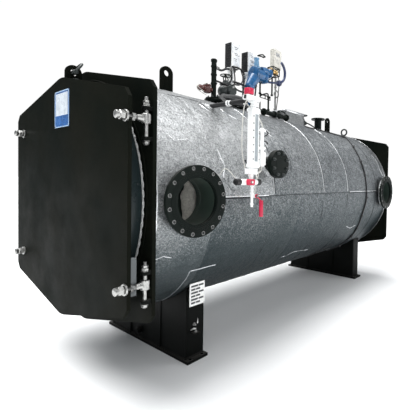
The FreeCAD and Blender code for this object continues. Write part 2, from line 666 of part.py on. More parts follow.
def make_top_cock():
    """The cock above the gauge, its pipe into the shell and its turning knob."""
    x_range = (KNOB_X - 40, GAUGE_X + 45)
    block = box(x_range, span(GAUGE_Y, 30), (TOP_COCK_Z - 25, TOP_COCK_Z + 10))
    neck = upright(GAUGE_X, GAUGE_Y, GAUGE_TOP, TOP_COCK_Z, 20)
    branch_end = (GAUGE_X, -300, TOP_BRANCH_Z)
    branch_start = (GAUGE_X, GAUGE_Y, TOP_BRANCH_Z)
    branch = rod(branch_start, branch_end, 16)
    spindle = upright(KNOB_X, GAUGE_Y, TOP_COCK_Z, TOP_COCK_Z + 72, SPINDLE_RADIUS)
    parts["gauge_top_cock"] = seat_on_shell(fuse(block, neck, branch, spindle))
    jacket_holes.append(rod(branch_start, branch_end, BRANCH_HOLE_RADIUS))
    knob = upright(KNOB_X, GAUGE_Y, TOP_COCK_Z + 16, TOP_COCK_Z + 66, KNOB_RADIUS)
    bore = upright(KNOB_X, GAUGE_Y, TOP_COCK_Z, TOP_COCK_Z + 80, SPINDLE_RADIUS + RUNNING_CLEARANCE)
    parts["gauge_top_knob"] = knob.cut(bore)


def make_bottom_cock():
    """The cock under the gauge with its drain, its handle and the drain's lever."""
    z = GAUGE_VALVE_Z
    y = GAUGE_Y
    neck = upright(GAUGE_X - 20, y, z, GAUGE_BOTTOM, 17)
    block = box((GAUGE_X - 65, GAUGE_X + 30), span(y, 26), (GAUGE_BOTTOM - 50, GAUGE_BOTTOM - 5))
    bar = rod((GAUGE_X - 185, y, z), (GAUGE_X + 82, y, z), 24)
    branch_end = (LOW_BRANCH_X, -700, z)
    branch_start = (LOW_BRANCH_X, y, z)
    branch = rod(branch_start, branch_end, 18)
    spindle = rod((HANDLE_X, y, z), (HANDLE_X, y - 66, z), SPINDLE_RADIUS)
    drain = upright(DRAIN_X, y, DRAIN_BOTTOM, z, 11)
    boss = rod((DRAIN_X, y, DRAIN_PIVOT_Z), (DRAIN_PIVOT_X, y, DRAIN_PIVOT_Z), 9)
    pivot_back = (DRAIN_PIVOT_X, y + 12, DRAIN_PIVOT_Z)
    pivot = rod(pivot_back, (DRAIN_PIVOT_X, y - 34, DRAIN_PIVOT_Z), LEVER_PIN_RADIUS)
    shoulder = rod(pivot_back, (DRAIN_PIVOT_X, y - 12, DRAIN_PIVOT_Z), 14)
    cock = fuse(neck, block, bar, branch, spindle, drain, boss, pivot, shoulder)
    parts["gauge_bottom_cock"] = seat_on_shell(cock)
    jacket_holes.append(rod(branch_start, branch_end, BRANCH_HOLE_RADIUS))
    handle = box((HANDLE_X - 38, HANDLE_X + 38), (y - 58, y - 30), span(z, 24))
    handle_bore = rod((HANDLE_X, y, z), (HANDLE_X, y - 70, z), SPINDLE_RADIUS + RUNNING_CLEARANCE)
    parts["gauge_bottom_handle"] = handle.cut(handle_bore)
    lever_y = y - 23
    elbow = (DRAIN_PIVOT_X + 55, lever_y, DRAIN_PIVOT_Z - 38)
    hub_start = (DRAIN_PIVOT_X, lever_y - 5, DRAIN_PIVOT_Z)
    hub = rod(hub_start, (DRAIN_PIVOT_X, lever_y + 5, DRAIN_PIVOT_Z), 16)
    arm = rod((DRAIN_PIVOT_X, lever_y, DRAIN_PIVOT_Z), elbow, 5)
    grip = rod(elbow, (DRAIN_PIVOT_X + 58, lever_y, DRAIN_PIVOT_Z - 170), 17)
    pivot_end = (DRAIN_PIVOT_X, y - 50, DRAIN_PIVOT_Z)
    bore = rod((DRAIN_PIVOT_X, y, DRAIN_PIVOT_Z), pivot_end, LEVER_PIN_RADIUS + RUNNING_CLEARANCE)
    parts["gauge_drain_lever"] = fuse(hub, arm, grip).cut(bore)


def make_rating_plate():
    """The blank rating plate on its bracket, on the front saddle's near side."""
    side = -SADDLE_HALF_WIDTH
    face = side - RATING_STANDOFF
    bracket = box((-60, 20), (face, side), (500, 620))
    plate = box(RATING_X, (face - RATING_THICKNESS, face), RATING_Z)
    parts["rating_plate"] = fuse(bracket, plate)


def make_jacket():
    """The lagging, as mats around the shell: one at each nozzle, and the rest of each ring."""
    jacket = axis_cylinder(LAGGING_RADIUS, SHELL_FRONT, SHELL_REAR)
    jacket = jacket.cut(long_cylinder(SHELL_RADIUS + LAGGING_GAP))
    for hole in jacket_holes:
        jacket = jacket.cut(hole)
    reach = LAGGING_RADIUS + OVERSHOOT
    full = span(0, reach)
    front_x = (SHELL_FRONT - 1, FRONT_MAT_END)
    middle_x = (FRONT_MAT_END, REAR_MAT_START)
    rear_x = (REAR_MAT_START, SHELL_REAR + 1)
    nozzle_z = span(AXIS_HEIGHT, NOZZLE_MAT_HALF_HEIGHT)
    for name, x_range in (("front", front_x), ("rear", rear_x)):
        near_side = box(x_range, (-reach, 0), nozzle_z)
        ring = jacket.common(box(x_range, full, span(AXIS_HEIGHT, reach)))
        parts["lagging_" + name + "_nozzle_mat"] = ring.common(near_side)
        parts["lagging_" + name + "_wrap"] = ring.cut(near_side)
    upper = (AXIS_HEIGHT, AXIS_HEIGHT + reach)
    lower = (AXIS_HEIGHT - reach, AXIS_HEIGHT)
    parts["lagging_middle_top"] = jacket.common(box(middle_x, full, upper))
    parts["lagging_middle_bottom"] = jacket.common(box(middle_x, full, lower))


def write_parts():
    """One STEP file for each sub-part."""
    os.makedirs("parts", exist_ok=True)
    for name, shape in parts.items():
        shape.exportStep("parts/" + name + ".step")


make_shell()
make_end_plates()
make_saddles()
make_flue_nozzles()
make_blind_nozzle()
make_steam_outlet()
make_door()
make_hinge_supports()
make_ridge_pads()
make_stop_valve()
make_level_probes()
make_safety_valve()
make_lagged_hump()
make_vent_valve()
make_drain_pipe()
make_gauge_column()
make_top_cock()
make_bottom_cock()
make_rating_plate()
make_jacket()
write_parts()
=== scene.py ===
"""Looks of a horizontal fire-tube boiler: materials, foil lagging and small fittings, in metres."""
import json
import math

import bmesh
import bpy
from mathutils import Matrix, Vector, noise


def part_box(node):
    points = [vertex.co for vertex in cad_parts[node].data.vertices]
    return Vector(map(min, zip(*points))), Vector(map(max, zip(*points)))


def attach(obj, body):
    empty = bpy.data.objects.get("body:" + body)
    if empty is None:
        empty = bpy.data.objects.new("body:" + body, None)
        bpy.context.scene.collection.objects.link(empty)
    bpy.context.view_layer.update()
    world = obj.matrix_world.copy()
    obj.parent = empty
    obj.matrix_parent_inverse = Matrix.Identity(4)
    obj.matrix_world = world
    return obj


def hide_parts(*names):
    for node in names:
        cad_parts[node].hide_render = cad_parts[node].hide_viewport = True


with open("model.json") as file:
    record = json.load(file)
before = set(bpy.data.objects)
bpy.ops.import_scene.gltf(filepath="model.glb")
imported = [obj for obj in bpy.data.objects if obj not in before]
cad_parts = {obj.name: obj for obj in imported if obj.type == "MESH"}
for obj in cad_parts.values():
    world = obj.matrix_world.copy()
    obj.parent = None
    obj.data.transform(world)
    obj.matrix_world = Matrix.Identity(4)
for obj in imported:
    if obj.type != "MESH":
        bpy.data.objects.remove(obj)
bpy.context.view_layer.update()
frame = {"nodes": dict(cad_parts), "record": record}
NODES = frame["nodes"]
TAU = 2 * math.pi
REAR, FRONT, FAR, NEAR, UP, DOWN = (1, 0, 0), (-1, 0, 0), (0, 1, 0), (0, -1, 0), (0, 0, 1), (0, 0, -1)


# ---------------------------------------------------------------- places read from the frame
def middle(node):
    low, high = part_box(node)
    return (low + high) / 2


SHELL_LOW, SHELL_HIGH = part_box("lagging_middle_top")
AXIS_Z = SHELL_LOW.z
JACKET_R = SHELL_HIGH.y
JACKET_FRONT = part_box("lagging_front_wrap")[0].x
JACKET_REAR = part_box("lagging_rear_wrap")[1].x
MAT_FRONT = SHELL_LOW.x
MAT_REAR = SHELL_HIGH.x
FRONT_NOZZLE = middle("front_flue_nozzle")
REAR_NOZZLE = middle("rear_flue_nozzle")
NOZZLE_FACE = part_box("front_flue_nozzle")[0].y
NOZZLE_R = 0.1778
FLANGE_THICKNESS = 0.026

# Door, hinge and its pins
HINGE_X, HINGE_Y = -0.655, -0.948
BOLT_Y = 0.795
BOLT_LEVELS = (1.905, 0.861)
EAR_LEVELS = ((1.78, 1.968), (0.752, 0.935))
ROPE_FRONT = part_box("door_rope_seal")[0].x
ROPE_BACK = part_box("door_rope_seal")[1].x

# Level gauge
GAUGE = middle("level_gauge")
TOP_BRANCH_Z = 2.182
TOP_COCK_Z = 2.19
LOW_BRANCH_X, LOW_BRANCH_Z = 0.118, 1.518
KNOB_X = middle("gauge_top_knob").x
HANDLE_X = middle("gauge_bottom_handle").x
DRAIN_X = 0.173
DRAIN_PIVOT = (0.205, 1.405)
STANDPIPE = (0.305, -1.062)
STAND_LINKS = (1.8, 1.945)

# Front door drum and its rope
DRUM_R = 0.8845
ROPE_R = 0.8755

# Flue flanges, lifting lugs and saddles
FLUE_CIRCLE, FLUE_HOLES = 0.46, 16
BLIND_CIRCLE, BLIND_BOLTS = 0.2, 8
STEAM_CIRCLE, STEAM_BOLTS = 0.18, 8
COVER_CIRCLE, COVER_BOLTS = 1.66, 24
SIGHT_GLASS_UP, PORT_UP = 0.56, -0.25
LUG_PLACES = (0.103, 3.182)
ANCHOR_X, ANCHOR_Y = 0.06, 0.63

# Foil sheets: where they end round the shell, in degrees from the top towards the near side
NEAR_MAT = (69.9, 110.1)
TOP_MAT = (-89.0, 88.9)
BOTTOM_MAT = (88.9, 271.0)

# Ridge
PROBE_A = (1.03, 0.1, 2.87)
PROBE_B = (1.275, 0.067, 2.872)
PROBE_HEADS = ((0.998, 1.128, 0.033, 0.167, 2.87, 3.17), (1.243, 1.373, 0.0, 0.134, 2.872, 3.128))
FEED_X = 0.6
SAFETY_Y = middle("safety_valve_body").y
SAFETY_INLET_X = 1.15
BARREL_FRONT, BARREL_Z = 1.185, 2.822
NECK_END, NECK_Z = 1.5, 2.892
EASING_PIN = (1.44, -0.12, 2.775)
VENT_BODY_Z = 2.425
DRAIN_Z = 2.33
DRAIN_DROP = (1.375, -0.33)


# ---------------------------------------------------------------- materials
class Nodes:
    """A short way to write a node tree."""

    def __init__(self, name):
        self.material = bpy.data.materials.new(name)
        self.material.use_nodes = True
        self.tree = self.material.node_tree
        self.shader = self.tree.nodes["Principled BSDF"]
        self.place = self.add("ShaderNodeTexCoord").outputs["Object"]

    def add(self, kind, **inputs):
        node = self.tree.nodes.new(kind)
        for name, value in inputs.items():
            self.put(node, name.replace("_", " "), value)
        return node

    def put(self, node, name, value):
        socket = node.inputs[name]
        if isinstance(value, bpy.types.NodeSocket):
            self.tree.links.new(value, socket)
        else:
            socket.default_value = value

    def noise(self, scale, detail=4.0, rough=0.55, distort=0.0, place=None):
        node = self.add("ShaderNodeTexNoise", Scale=scale, Detail=detail, Roughness=rough,
            Distortion=distort)
        self.put(node, "Vector", place or self.place)
        return node.outputs["Fac"]

    def cells(self, scale, place):
        node = self.add("ShaderNodeTexVoronoi", Scale=scale, Vector=place)
        return node.outputs["Distance"]

    def stretched(self, scale):
        node = self.add("ShaderNodeMapping", Vector=self.place, Scale=scale)
        return node.outputs["Vector"]

    def ramp(self, value, low, high, out_low=0.0, out_high=1.0):
        node = self.add("ShaderNodeMapRange")
        node.clamp = True
        self.put(node, "Value", value)
        for name, number in (("From Min", low), ("From Max", high), ("To Min", out_low),
                ("To Max", out_high)):
            node.inputs[name].default_value = number
        return node.outputs["Result"]

    def mix(self, factor, first, second):
        node = self.tree.nodes.new("ShaderNodeMix")
        node.data_type = "RGBA"
        for index, value in ((0, factor), (6, first), (7, second)):
            if isinstance(value, bpy.types.NodeSocket):
                self.tree.links.new(value, node.inputs[index])
            elif index == 0:
                node.inputs[index].default_value = value
            else:
                node.inputs[index].default_value = (*value, 1.0)
        return node.outputs[2]

    def maths(self, operation, first, second=0.0):
        node = self.tree.nodes.new("ShaderNodeMath")
        node.operation = operation
        for index, value in ((0, first), (1, second)):
            if isinstance(value, bpy.types.NodeSocket):
                self.tree.links.new(value, node.inputs[index])
            else:
                node.inputs[index].default_value = value
        return node.outputs[0]

    def height(self):
        return self.add("ShaderNodeSeparateXYZ", Vector=self.place).outputs["Z"]

    def upward(self):
        normal = self.add("ShaderNodeNewGeometry").outputs["Normal"]
        return self.add("ShaderNodeSeparateXYZ", Vector=normal).outputs["Z"]

    def bump(self, *layers):
        """Layers are (height, strength, distance), the coarse ones first."""
        normal = None
        for height, strength, distance in layers:
            node = self.add("ShaderNodeBump", Strength=strength, Distance=distance, Height=height)
            if normal is not None:
                self.put(node, "Normal", normal)
            normal = node.outputs["Normal"]
        self.put(self.shader, "Normal", normal)

    def set(self, **inputs):
        for name, value in inputs.items():
            if isinstance(value, tuple) and len(value) == 3:
                value = (*value, 1.0)
            self.put(self.shader, name.replace("_", " "), value)
        return self.material


def painted(name, colour, rough=0.42, tint=None, dust=0.12, grain=0.05, gloss=0.5):
    """Sprayed paint: orange peel, slow colour drift, dust on top faces and small rubbed spots."""
    n = Nodes(name)
    drift = n.ramp(n.noise(1.7, 3), 0.35, 0.68)
    second = tint or tuple(c * 0.72 for c in colour)
    base = n.mix(drift, colour, second)
    speck = n.ramp(n.noise(240, 2), 0.62, 0.78, 0.0, 0.35)
    base = n.mix(speck, base, tuple(min(1.0, c * 1.9 + 0.0015) for c in colour))
    scuff = n.ramp(n.noise(9, 8, 0.75, 1.2), 0.6, 0.74, 0.0, 0.3)
    base = n.mix(scuff, base, tuple(min(1.0, c * 1.5 + 0.003) for c in colour))
    powder = n.maths("MULTIPLY", n.ramp(n.upward(), 0.35, 1.0, 0.0, dust * 2.2), n.noise(6, 5))
    base = n.mix(powder, base, (0.42, 0.4, 0.37))
    sheen = n.ramp(n.noise(3.1, 6, 0.65), 0.3, 0.7, rough - 0.09, rough + 0.13)
    n.bump((n.noise(5.0, 2), 0.12, 0.004), (n.noise(420, 2), grain, 0.0012))
    return n.set(Base_Color=base, Roughness=sheen, Specular_IOR_Level=gloss)


def gloss_paint(name, colour, rough=0.22):
    """Thick enamel on castings: slight lumps from the sand mould under a clear top."""
    n = Nodes(name)
    base = n.mix(n.ramp(n.noise(11, 5), 0.3, 0.7), colour, tuple(c * 0.6 for c in colour))
    grime_and_shade = n.ramp(n.noise(34, 7, 0.7), 0.55, 0.72, 0.0, 0.45)
    base = n.mix(grime_and_shade, base, tuple(c * 0.3 for c in colour))
    n.bump((n.noise(55, 3), 0.22, 0.003), (n.noise(300, 2), 0.08, 0.001))
    sheen = n.ramp(n.noise(20, 5), 0.3, 0.7, rough - 0.05, rough + 0.18)
    return n.set(Base_Color=base, Roughness=sheen, Coat_Weight=0.35, Coat_Roughness=0.1)


def bare_metal(name, colour, rough=0.3, grain=0.25, stain=(0.2, 0.17, 0.13), stain_share=0.35):
    """Plated or turned metal: fine marks, dull patches and a little staining."""
    n = Nodes(name)
    base = n.mix(n.ramp(n.noise(38, 6, 0.7), 0.35, 0.7), colour, tuple(c * 0.66 for c in colour))
    rust = n.ramp(n.noise(60, 7, 0.72), 0.58, 0.74, 0.0, stain_share)
    base = n.mix(rust, base, stain)
    fine = n.noise(700, 2, 0.6)
    n.bump((n.noise(90, 3), 0.15, 0.0015), (fine, grain, 0.0006))
    sheen = n.ramp(n.noise(45, 5), 0.3, 0.72, rough - 0.08, rough + 0.2)
    return n.set(Base_Color=base, Metallic=1.0, Roughness=sheen)


def foil(name, bright, dark, low, grime_and_shade, seed=0.0, gloss=0.34, fine=1.0):
    """Foil over mineral wool: crumples, a grainy press mark, painted shade low down and painted shade on
    the crown.
    """
    n = Nodes(name)
    shift = n.add("ShaderNodeMapping", Vector=n.place, Location=(seed, seed * 0.7,
        seed * 1.3)).outputs["Vector"]
    crumple = n.noise(17, 7, 0.66, 0.9, shift)
    facet = n.cells(46, shift)
    grain = n.noise(95 * fine, 4, 0.66, 0.0, shift)
    pepper = n.cells(150 * fine, shift)
    cloud = n.noise(2.3, 4, 0.6, 0.4, shift)
    base = n.mix(n.ramp(crumple, 0.36, 0.64), dark, bright)
    base = n.mix(n.ramp(grain, 0.46, 0.6, 0.0, 0.72), base, tuple(c * 0.42 for c in dark))
    blotch = n.noise(34 * fine, 3, 0.7, 0.6, shift)
    base = n.mix(n.ramp(blotch, 0.5, 0.62, 0.0, 0.62), base, tuple(c * 0.38 for c in dark))
    fleck = n.noise(118 * fine, 3, 0.65, 0.3, shift)
    base = n.mix(n.ramp(fleck, 0.54, 0.68, 0.0, 0.58), base, tuple(min(1.0, c * 1.22) for c in bright))
    base = n.mix(n.ramp(pepper, 0.52, 0.3, 0.0, 0.3), base, tuple(min(1.0, c * 1.12) for c in bright))
    base = n.mix(n.ramp(cloud, 0.42, 0.66, 0.0, 0.45), base, tuple(c * 0.6 for c in dark))
    # Painted shade low down: towards the bottom the foil darkens to the low colour. This stands in for
    # shade and for dark reflection. The cloud and fleck noise only break up the edge of the band.
    painted_low_shade = n.maths("ADD", n.height(), n.ramp(cloud, 0.3, 0.7, -0.12, 0.12))
    painted_low_shade = n.maths("ADD", painted_low_shade, n.ramp(fleck, 0.4, 0.62, -0.14, 0.16))
    base = n.mix(n.ramp(painted_low_shade, grime_and_shade[0], grime_and_shade[1], 0.0, 0.95), base, low)
    # Painted shade on the crown: the top of the jacket is darkened towards the dark colour. This stands in
    # for the shade and dull reflection there.
    painted_crown_shade = n.maths("ADD", n.height(), n.ramp(blotch, 0.4, 0.62, -0.1, 0.1))
    base = n.mix(n.ramp(painted_crown_shade, 1.98, 2.3, 0.0, 0.62), base, tuple(c * 0.34 for c in dark))
    sheen = n.ramp(grain, 0.3, 0.7, gloss, gloss + 0.26)
    n.bump((n.noise(6.5, 3, 0.5, 0.6, shift), 0.3, 0.02), (crumple, 0.55, 0.01),
           (facet, 0.3, 0.006), (grain, 0.7, 0.004), (pepper, 0.45, 0.002))
    return n.set(Base_Color=base, Metallic=0.88, Roughness=sheen)


def foil_tape(name):
    """Plain foil tape: smoother and brighter than the mats, with thin creases and painted shade towards the
    bottom.
    """
    n = Nodes(name)
    crease = n.noise(48, 6, 0.7, 1.2)
    base = n.mix(n.ramp(crease, 0.35, 0.65), (0.95, 0.955, 0.96), (0.66, 0.68, 0.7))
    # Painted shade: the tape darkens towards the bottom, from about 1.3 m down to 0.75 m.
    base = n.mix(n.ramp(n.height(), 1.3, 0.75, 0.0, 0.6), base, (0.34, 0.36, 0.39))
    n.bump((crease, 0.45, 0.004), (n.noise(260, 3), 0.2, 0.001))
    return n.set(Base_Color=base, Metallic=0.85, Roughness=n.ramp(crease, 0.3, 0.7, 0.2, 0.42))


def fibre(name, colour, second, scale=1.0):
    """Felted or woven fibre, seen as fine streaks and clumps."""
    n = Nodes(name)
    clump = n.noise(30 * scale, 7, 0.75, 1.5)
    strand = n.noise(300 * scale, 3, 0.7, 0.0, n.stretched((1.0, 1.0, 0.25)))
    base = n.mix(n.ramp(clump, 0.35, 0.66), colour, second)
    base = n.mix(n.ramp(strand, 0.4, 0.65, 0.0, 0.5), base, tuple(c * 0.55 for c in second))
    n.bump((clump, 0.8, 0.012), (strand, 0.6, 0.003))
    return n.set(Base_Color=base, Roughness=0.95, Sheen_Weight=0.3)


def moulded(name, colour, rough=0.4, grain=0.12):
    """Moulded plastic: fine texture, slight colour drift and handling marks."""
    n = Nodes(name)
    base = n.mix(n.ramp(n.noise(14, 5), 0.35, 0.7), colour, tuple(c * 0.8 for c in colour))
    mark = n.ramp(n.noise(50, 7, 0.7), 0.6, 0.72, 0.0, 0.3)
    base = n.mix(mark, base, tuple(c * 0.5 + 0.05 for c in colour))
    n.bump((n.noise(70, 2), 0.06, 0.002), (n.noise(900, 2), grain, 0.0006))
    return n.set(Base_Color=base, Roughness=n.ramp(n.noise(25, 4), 0.3, 0.7, rough - 0.06, rough + 0.14))


BLACK = painted("black_paint", (0.004, 0.0058, 0.0046), 0.46, tint=(0.0075, 0.008, 0.0058),
    dust=0.018, gloss=0.014)
SADDLE_BLACK = painted("saddle_paint", (0.0028, 0.0034, 0.0031), 0.42, tint=(0.0055, 0.0062, 0.0056),
    dust=0.08, gloss=0.05)
FITTING_BLACK = painted("fitting_paint", (0.0048, 0.0075, 0.0064), 0.34, tint=(0.009, 0.012, 0.0105),
    dust=0.06, grain=0.1, gloss=0.06)
CASTING = painted("casting_paint", (0.016, 0.021, 0.021), 0.36, tint=(0.04, 0.048, 0.047), dust=0.12,
    grain=0.2, gloss=0.4)
STEEL_DARK = painted("shell_primer", (0.055, 0.066, 0.074), 0.5, tint=(0.035, 0.04, 0.046), dust=0.2)
DRUM = painted("drum_paint", (0.011, 0.018, 0.019), 0.3, tint=(0.018, 0.027, 0.029), dust=0.04, gloss=0.25)
BORE = painted("bore_primer", (0.022, 0.036, 0.029), 0.36, tint=(0.04, 0.056, 0.047), dust=0.03, gloss=0.4)
# Painted shadow: a dark paint for the strips laid under foil seams and in creases, where shade falls.
CREASE_SHADOW = painted("crease_shadow", (0.02, 0.022, 0.025), 0.5, tint=(0.03, 0.033, 0.036), dust=0.0, gloss=0.2)
CABLE = moulded("cable_black", (0.008, 0.008, 0.009), 0.42)
GREY_TAB = painted("grey_tab", (0.13, 0.145, 0.15), 0.42, tint=(0.09, 0.1, 0.105), dust=0.05)
# In each foil, the fourth value is the colour of the painted shade low down. The pair after it gives the
# height where that shade begins and the height where it is full.
FOIL_A = foil("foil_front", (0.8, 0.81, 0.82), (0.46, 0.475, 0.48),
    (0.044, 0.06, 0.065), (1.72, 0.92), seed=0.0)
FOIL_B = foil("foil_middle", (0.64, 0.655, 0.665), (0.28, 0.295, 0.305), (0.024, 0.037, 0.041),
    (2.0, 1.04), 3.7, 0.36, 0.8)
FOIL_C = foil("foil_rear", (0.56, 0.58, 0.595), (0.22, 0.235, 0.245), (0.021, 0.033, 0.038),
    (1.98, 1.0), 8.1, 0.37, 0.62)
TAPE = foil_tape("foil_tape")
WOOL = fibre("mineral_wool", (0.62, 0.6, 0.54), (0.36, 0.345, 0.31))
ROPE = fibre("rope_yarn", (0.78, 0.79, 0.78), (0.45, 0.46, 0.46), 1.4)
ZINC = bare_metal("zinc_plate", (0.5, 0.5, 0.485), 0.32, 0.25, stain_share=0.35)
STEEL = bare_metal("turned_steel", (0.34, 0.34, 0.335), 0.36, 0.3)
BRASS = bare_metal("brass", (0.78, 0.55, 0.26), 0.28, 0.2, stain=(0.25, 0.15, 0.07))
BLUE = gloss_paint("valve_blue", (0.008, 0.11, 0.29), 0.24)
PALE_BLUE = gloss_paint("bonnet_blue", (0.16, 0.34, 0.54), 0.26)
DEEP_BLUE = gloss_paint("lever_blue", (0.012, 0.028, 0.11), 0.18)
RED_BROWN = gloss_paint("red_brown", (0.11, 0.028, 0.024), 0.38)
WHITE = painted("white_enamel", (0.93, 0.94, 0.935), 0.3, tint=(0.84, 0.86, 0.86), dust=0.04, grain=0.04)
OFF_WHITE = moulded("white_cover", (0.86, 0.88, 0.9), 0.36)
BEIGE = moulded("beige_cover", (0.7, 0.68, 0.62), 0.45)
BLACK_PLASTIC = moulded("black_housing", (0.012, 0.012, 0.013), 0.4)
RED = moulded("red_grip", (0.62, 0.016, 0.065), 0.32)
SIGN_BLUE = gloss_paint("sign_blue", (0.03, 0.14, 0.42), 0.22)
SIGN_WHITE = moulded("sign_white", (0.66, 0.72, 0.78), 0.25, 0.04)
PLATE = bare_metal("plate_silver", (0.82, 0.82, 0.81), 0.35, 0.2, stain_share=0.15)
GLASS_STRIP = moulded("gauge_window", (0.32, 0.36, 0.38), 0.12, 0.02)
SIGN_PALE = moulded("sign_rim", (0.42, 0.58, 0.78), 0.28, 0.04)
PALE_WIRE = moulded("pale_tube", (0.62, 0.61, 0.57), 0.4)
DARK_MARK = moulded("dark_mark", (0.035, 0.038, 0.042), 0.45)

SLOT_MATERIAL = {
    "black_paint": BLACK, "lagging_foil": FOIL_B, "boiler_steel": STEEL_DARK, "door_lining": DRUM,
    "rope_seal": ROPE, "nozzle_steel": FITTING_BLACK, "bright_bolt": ZINC, "sign_white": SIGN_BLUE,
    "plate_silver": PLATE, "valve_grey": CASTING, "valve_brown": RED_BROWN, "valve_blue": BLUE,
    "lever_blue": DEEP_BLUE, "brass": BRASS, "white_paint": WHITE, "probe_box": OFF_WHITE,
    "switch_box": BEIGE, "red_grip": RED,
}


# ---------------------------------------------------------------- mesh making
def quads(rows, columns, closed=False, looped=False):
    """Faces of a grid of points: closed joins the last column to the first, looped the last row."""
    width = columns if closed else columns + 1
    faces = []
    for row in range(rows):
        rise = (((row + 1) % rows if looped else row + 1) - row) * width
        for column in range(columns):
            a, b = row * width + column, row * width + (column + 1) % width
            faces.append((a, b, b + rise, a + rise))
    return faces


class Shape:
    """Points and faces gathered into one piece."""

    def __init__(self):
        self.points = []
        self.faces = []

    def add(self, points, faces):
        base = len(self.points)
        self.points.extend(tuple(p) for p in points)
        self.faces.extend(tuple(base + i for i in face) for face in faces)

    def lathe(self, origin, axis, profile, sides=24, closed=False, turn=0.0):
        """Turns (along, radius) pairs about an axis; a closed profile makes a ring."""
        along = Vector(axis).normalized()
        across = along.orthogonal().normalized()
        other = along.cross(across)
        start = Vector(origin)
        points = []
        for distance, radius in profile:
            for index in range(sides):
                angle = turn + TAU * index / sides
                spoke = across * math.cos(angle) + other * math.sin(angle)
                points.append(start + along * distance + spoke * radius)
        self.sleeve(points, len(profile), sides, closed)

    def sleeve(self, points, count, sides, closed=False):
        """Joins rings of points into a skin, with a flat end on each side unless it is closed."""
        faces = quads(count if closed else count - 1, sides, True, closed)
        if not closed:
            faces.append(tuple(reversed(range(sides))))
            faces.append(tuple((count - 1) * sides + i for i in range(sides)))
        self.add(points, faces)

    def bar(self, start, end, radius, sides=16, edge=0.0):
        """A round bar between two points, with softened ends."""
        a, b = Vector(start), Vector(end)
        length = (b - a).length
        edge = edge or min(radius * 0.15, length * 0.2)
        self.lathe(a, b - a, [(0, radius - edge), (edge, radius), (length - edge, radius),
            (length, radius - edge)], sides)

    def hexagon(self, origin, axis, across_flats, height, turn=0.0):
        """A hexagon head or nut with chamfered corners."""
        radius = across_flats / math.sqrt(3)
        inner = across_flats / 2 * 0.97
        self.lathe(origin, axis, [(0, inner), (height * 0.12, radius), (height * 0.84, radius),
            (height, inner)], 6, turn=turn)

    def ring(self, centre, axis, major, minor, sides=64, around=8):
        """A torus, for weld beads, rims and wire loops."""
        turns = [TAU * index / around for index in range(around)]
        self.lathe(centre, axis, [(minor * math.sin(a), major + minor * math.cos(a)) for a in turns],
            sides, closed=True)

    def band(self, centre, axis, inner, outer, length, sides=64, edge=0.0015):
        """A flat ring that starts at centre and runs along the axis."""
        self.lathe(centre, axis, [(0, inner), (0, outer - edge), (edge, outer), (length - edge, outer),
            (length, outer - edge), (length, inner)], sides, closed=True)

    def studs(self, centre, axis, circle, count, across, reach=0.0, shift=0.5):
        """Hexagon nuts with washers on a bolt circle, each with a stud end that stands out by reach."""
        for index, place in enumerate(bolt_places(centre, axis, circle, count, shift)):
            self.band(place, axis, 0.001, across * 0.62, across * 0.12, 20, across * 0.02)
            start = place + Vector(axis).normalized() * across * 0.12
            self.hexagon(start, axis, across, across * 0.55, turn=index * 0.7)
            if reach:
                end = place + Vector(axis).normalized() * (across * 0.67 + reach)
                self.bar(start, end, across * 0.31, 12)

    def thread(self, start, end, radius, pitch, sides=16):
        """A threaded rod, as a row of fine ridges."""
        a, b = Vector(start), Vector(end)
        length = (b - a).length
        count = max(2, round(length / pitch))
        profile = [(0.0, radius * 0.86)]
        for index in range(count):
            profile.append((length * (index + 0.5) / count, radius))
            profile.append((length * (index + 1) / count, radius * 0.88))
        self.lathe(a, b - a, profile, sides)

    def block(self, low, high, edge=0.002):
        """A box with chamfered edges."""
        low, high = Vector(low), Vector(high)
        centre, half = (low + high) / 2, (high - low) / 2
        points = []
        for sx in (-1, 1):
            for sy in (-1, 1):
                for sz in (-1, 1):
                    sign = Vector((sx, sy, sz))
                    for axis in range(3):
                        inset = Vector([half[i] - (0 if i == axis else edge) for i in range(3)])
                        points.append(centre + Vector([sign[i] * inset[i] for i in range(3)]))
        self.hull(points)

    def hull(self, points):
        """The smallest closed shape round some points, with flat faces kept whole."""
        made = bmesh.new()
        for p in points:
            made.verts.new(p)
        bmesh.ops.convex_hull(made, input=made.verts)
        bmesh.ops.dissolve_limit(made, angle_limit=0.01, verts=made.verts, edges=made.edges)
        made.verts.index_update()
        self.add([v.co.copy() for v in made.verts], [[v.index for v in f.verts] for f in made.faces])
        made.free()

    def tube(self, route, radius, sides=10, smooth=6):
        """A tube along a smooth line through the points of route."""
        line = curve_through(route, smooth)
        side = None
        rings = []
        for index, place in enumerate(line):
            ahead = line[min(index + 1, len(line) - 1)] - line[max(index - 1, 0)]
            along = ahead.normalized()
            if side is None:
                side = along.orthogonal().normalized()
            side = (side - along * side.dot(along)).normalized()
            other = along.cross(side)
            for k in range(sides):
                angle = TAU * k / sides
                rings.append(place + (side * math.cos(angle) + other * math.sin(angle)) * radius)
        self.sleeve(rings, len(line), sides)

    def make(self, name, material, body="boiler", crisp=35.0, stands_for=()):
        mesh = bpy.data.meshes.new(name)
        mesh.from_pydata(self.points, [], self.faces)
        clean = bmesh.new()
        clean.from_mesh(mesh)
        bmesh.ops.recalc_face_normals(clean, faces=clean.faces)
        clean.to_mesh(mesh)
        clean.free()
        mesh.validate()
        mesh.shade_smooth()
        mesh.set_sharp_from_angle(angle=math.radians(crisp))
        mesh.materials.append(material)
        piece = bpy.data.objects.new(name, mesh)
        bpy.context.scene.collection.objects.link(piece)
        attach(piece, body)
        if stands_for:
            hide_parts(*stands_for)
        return piece


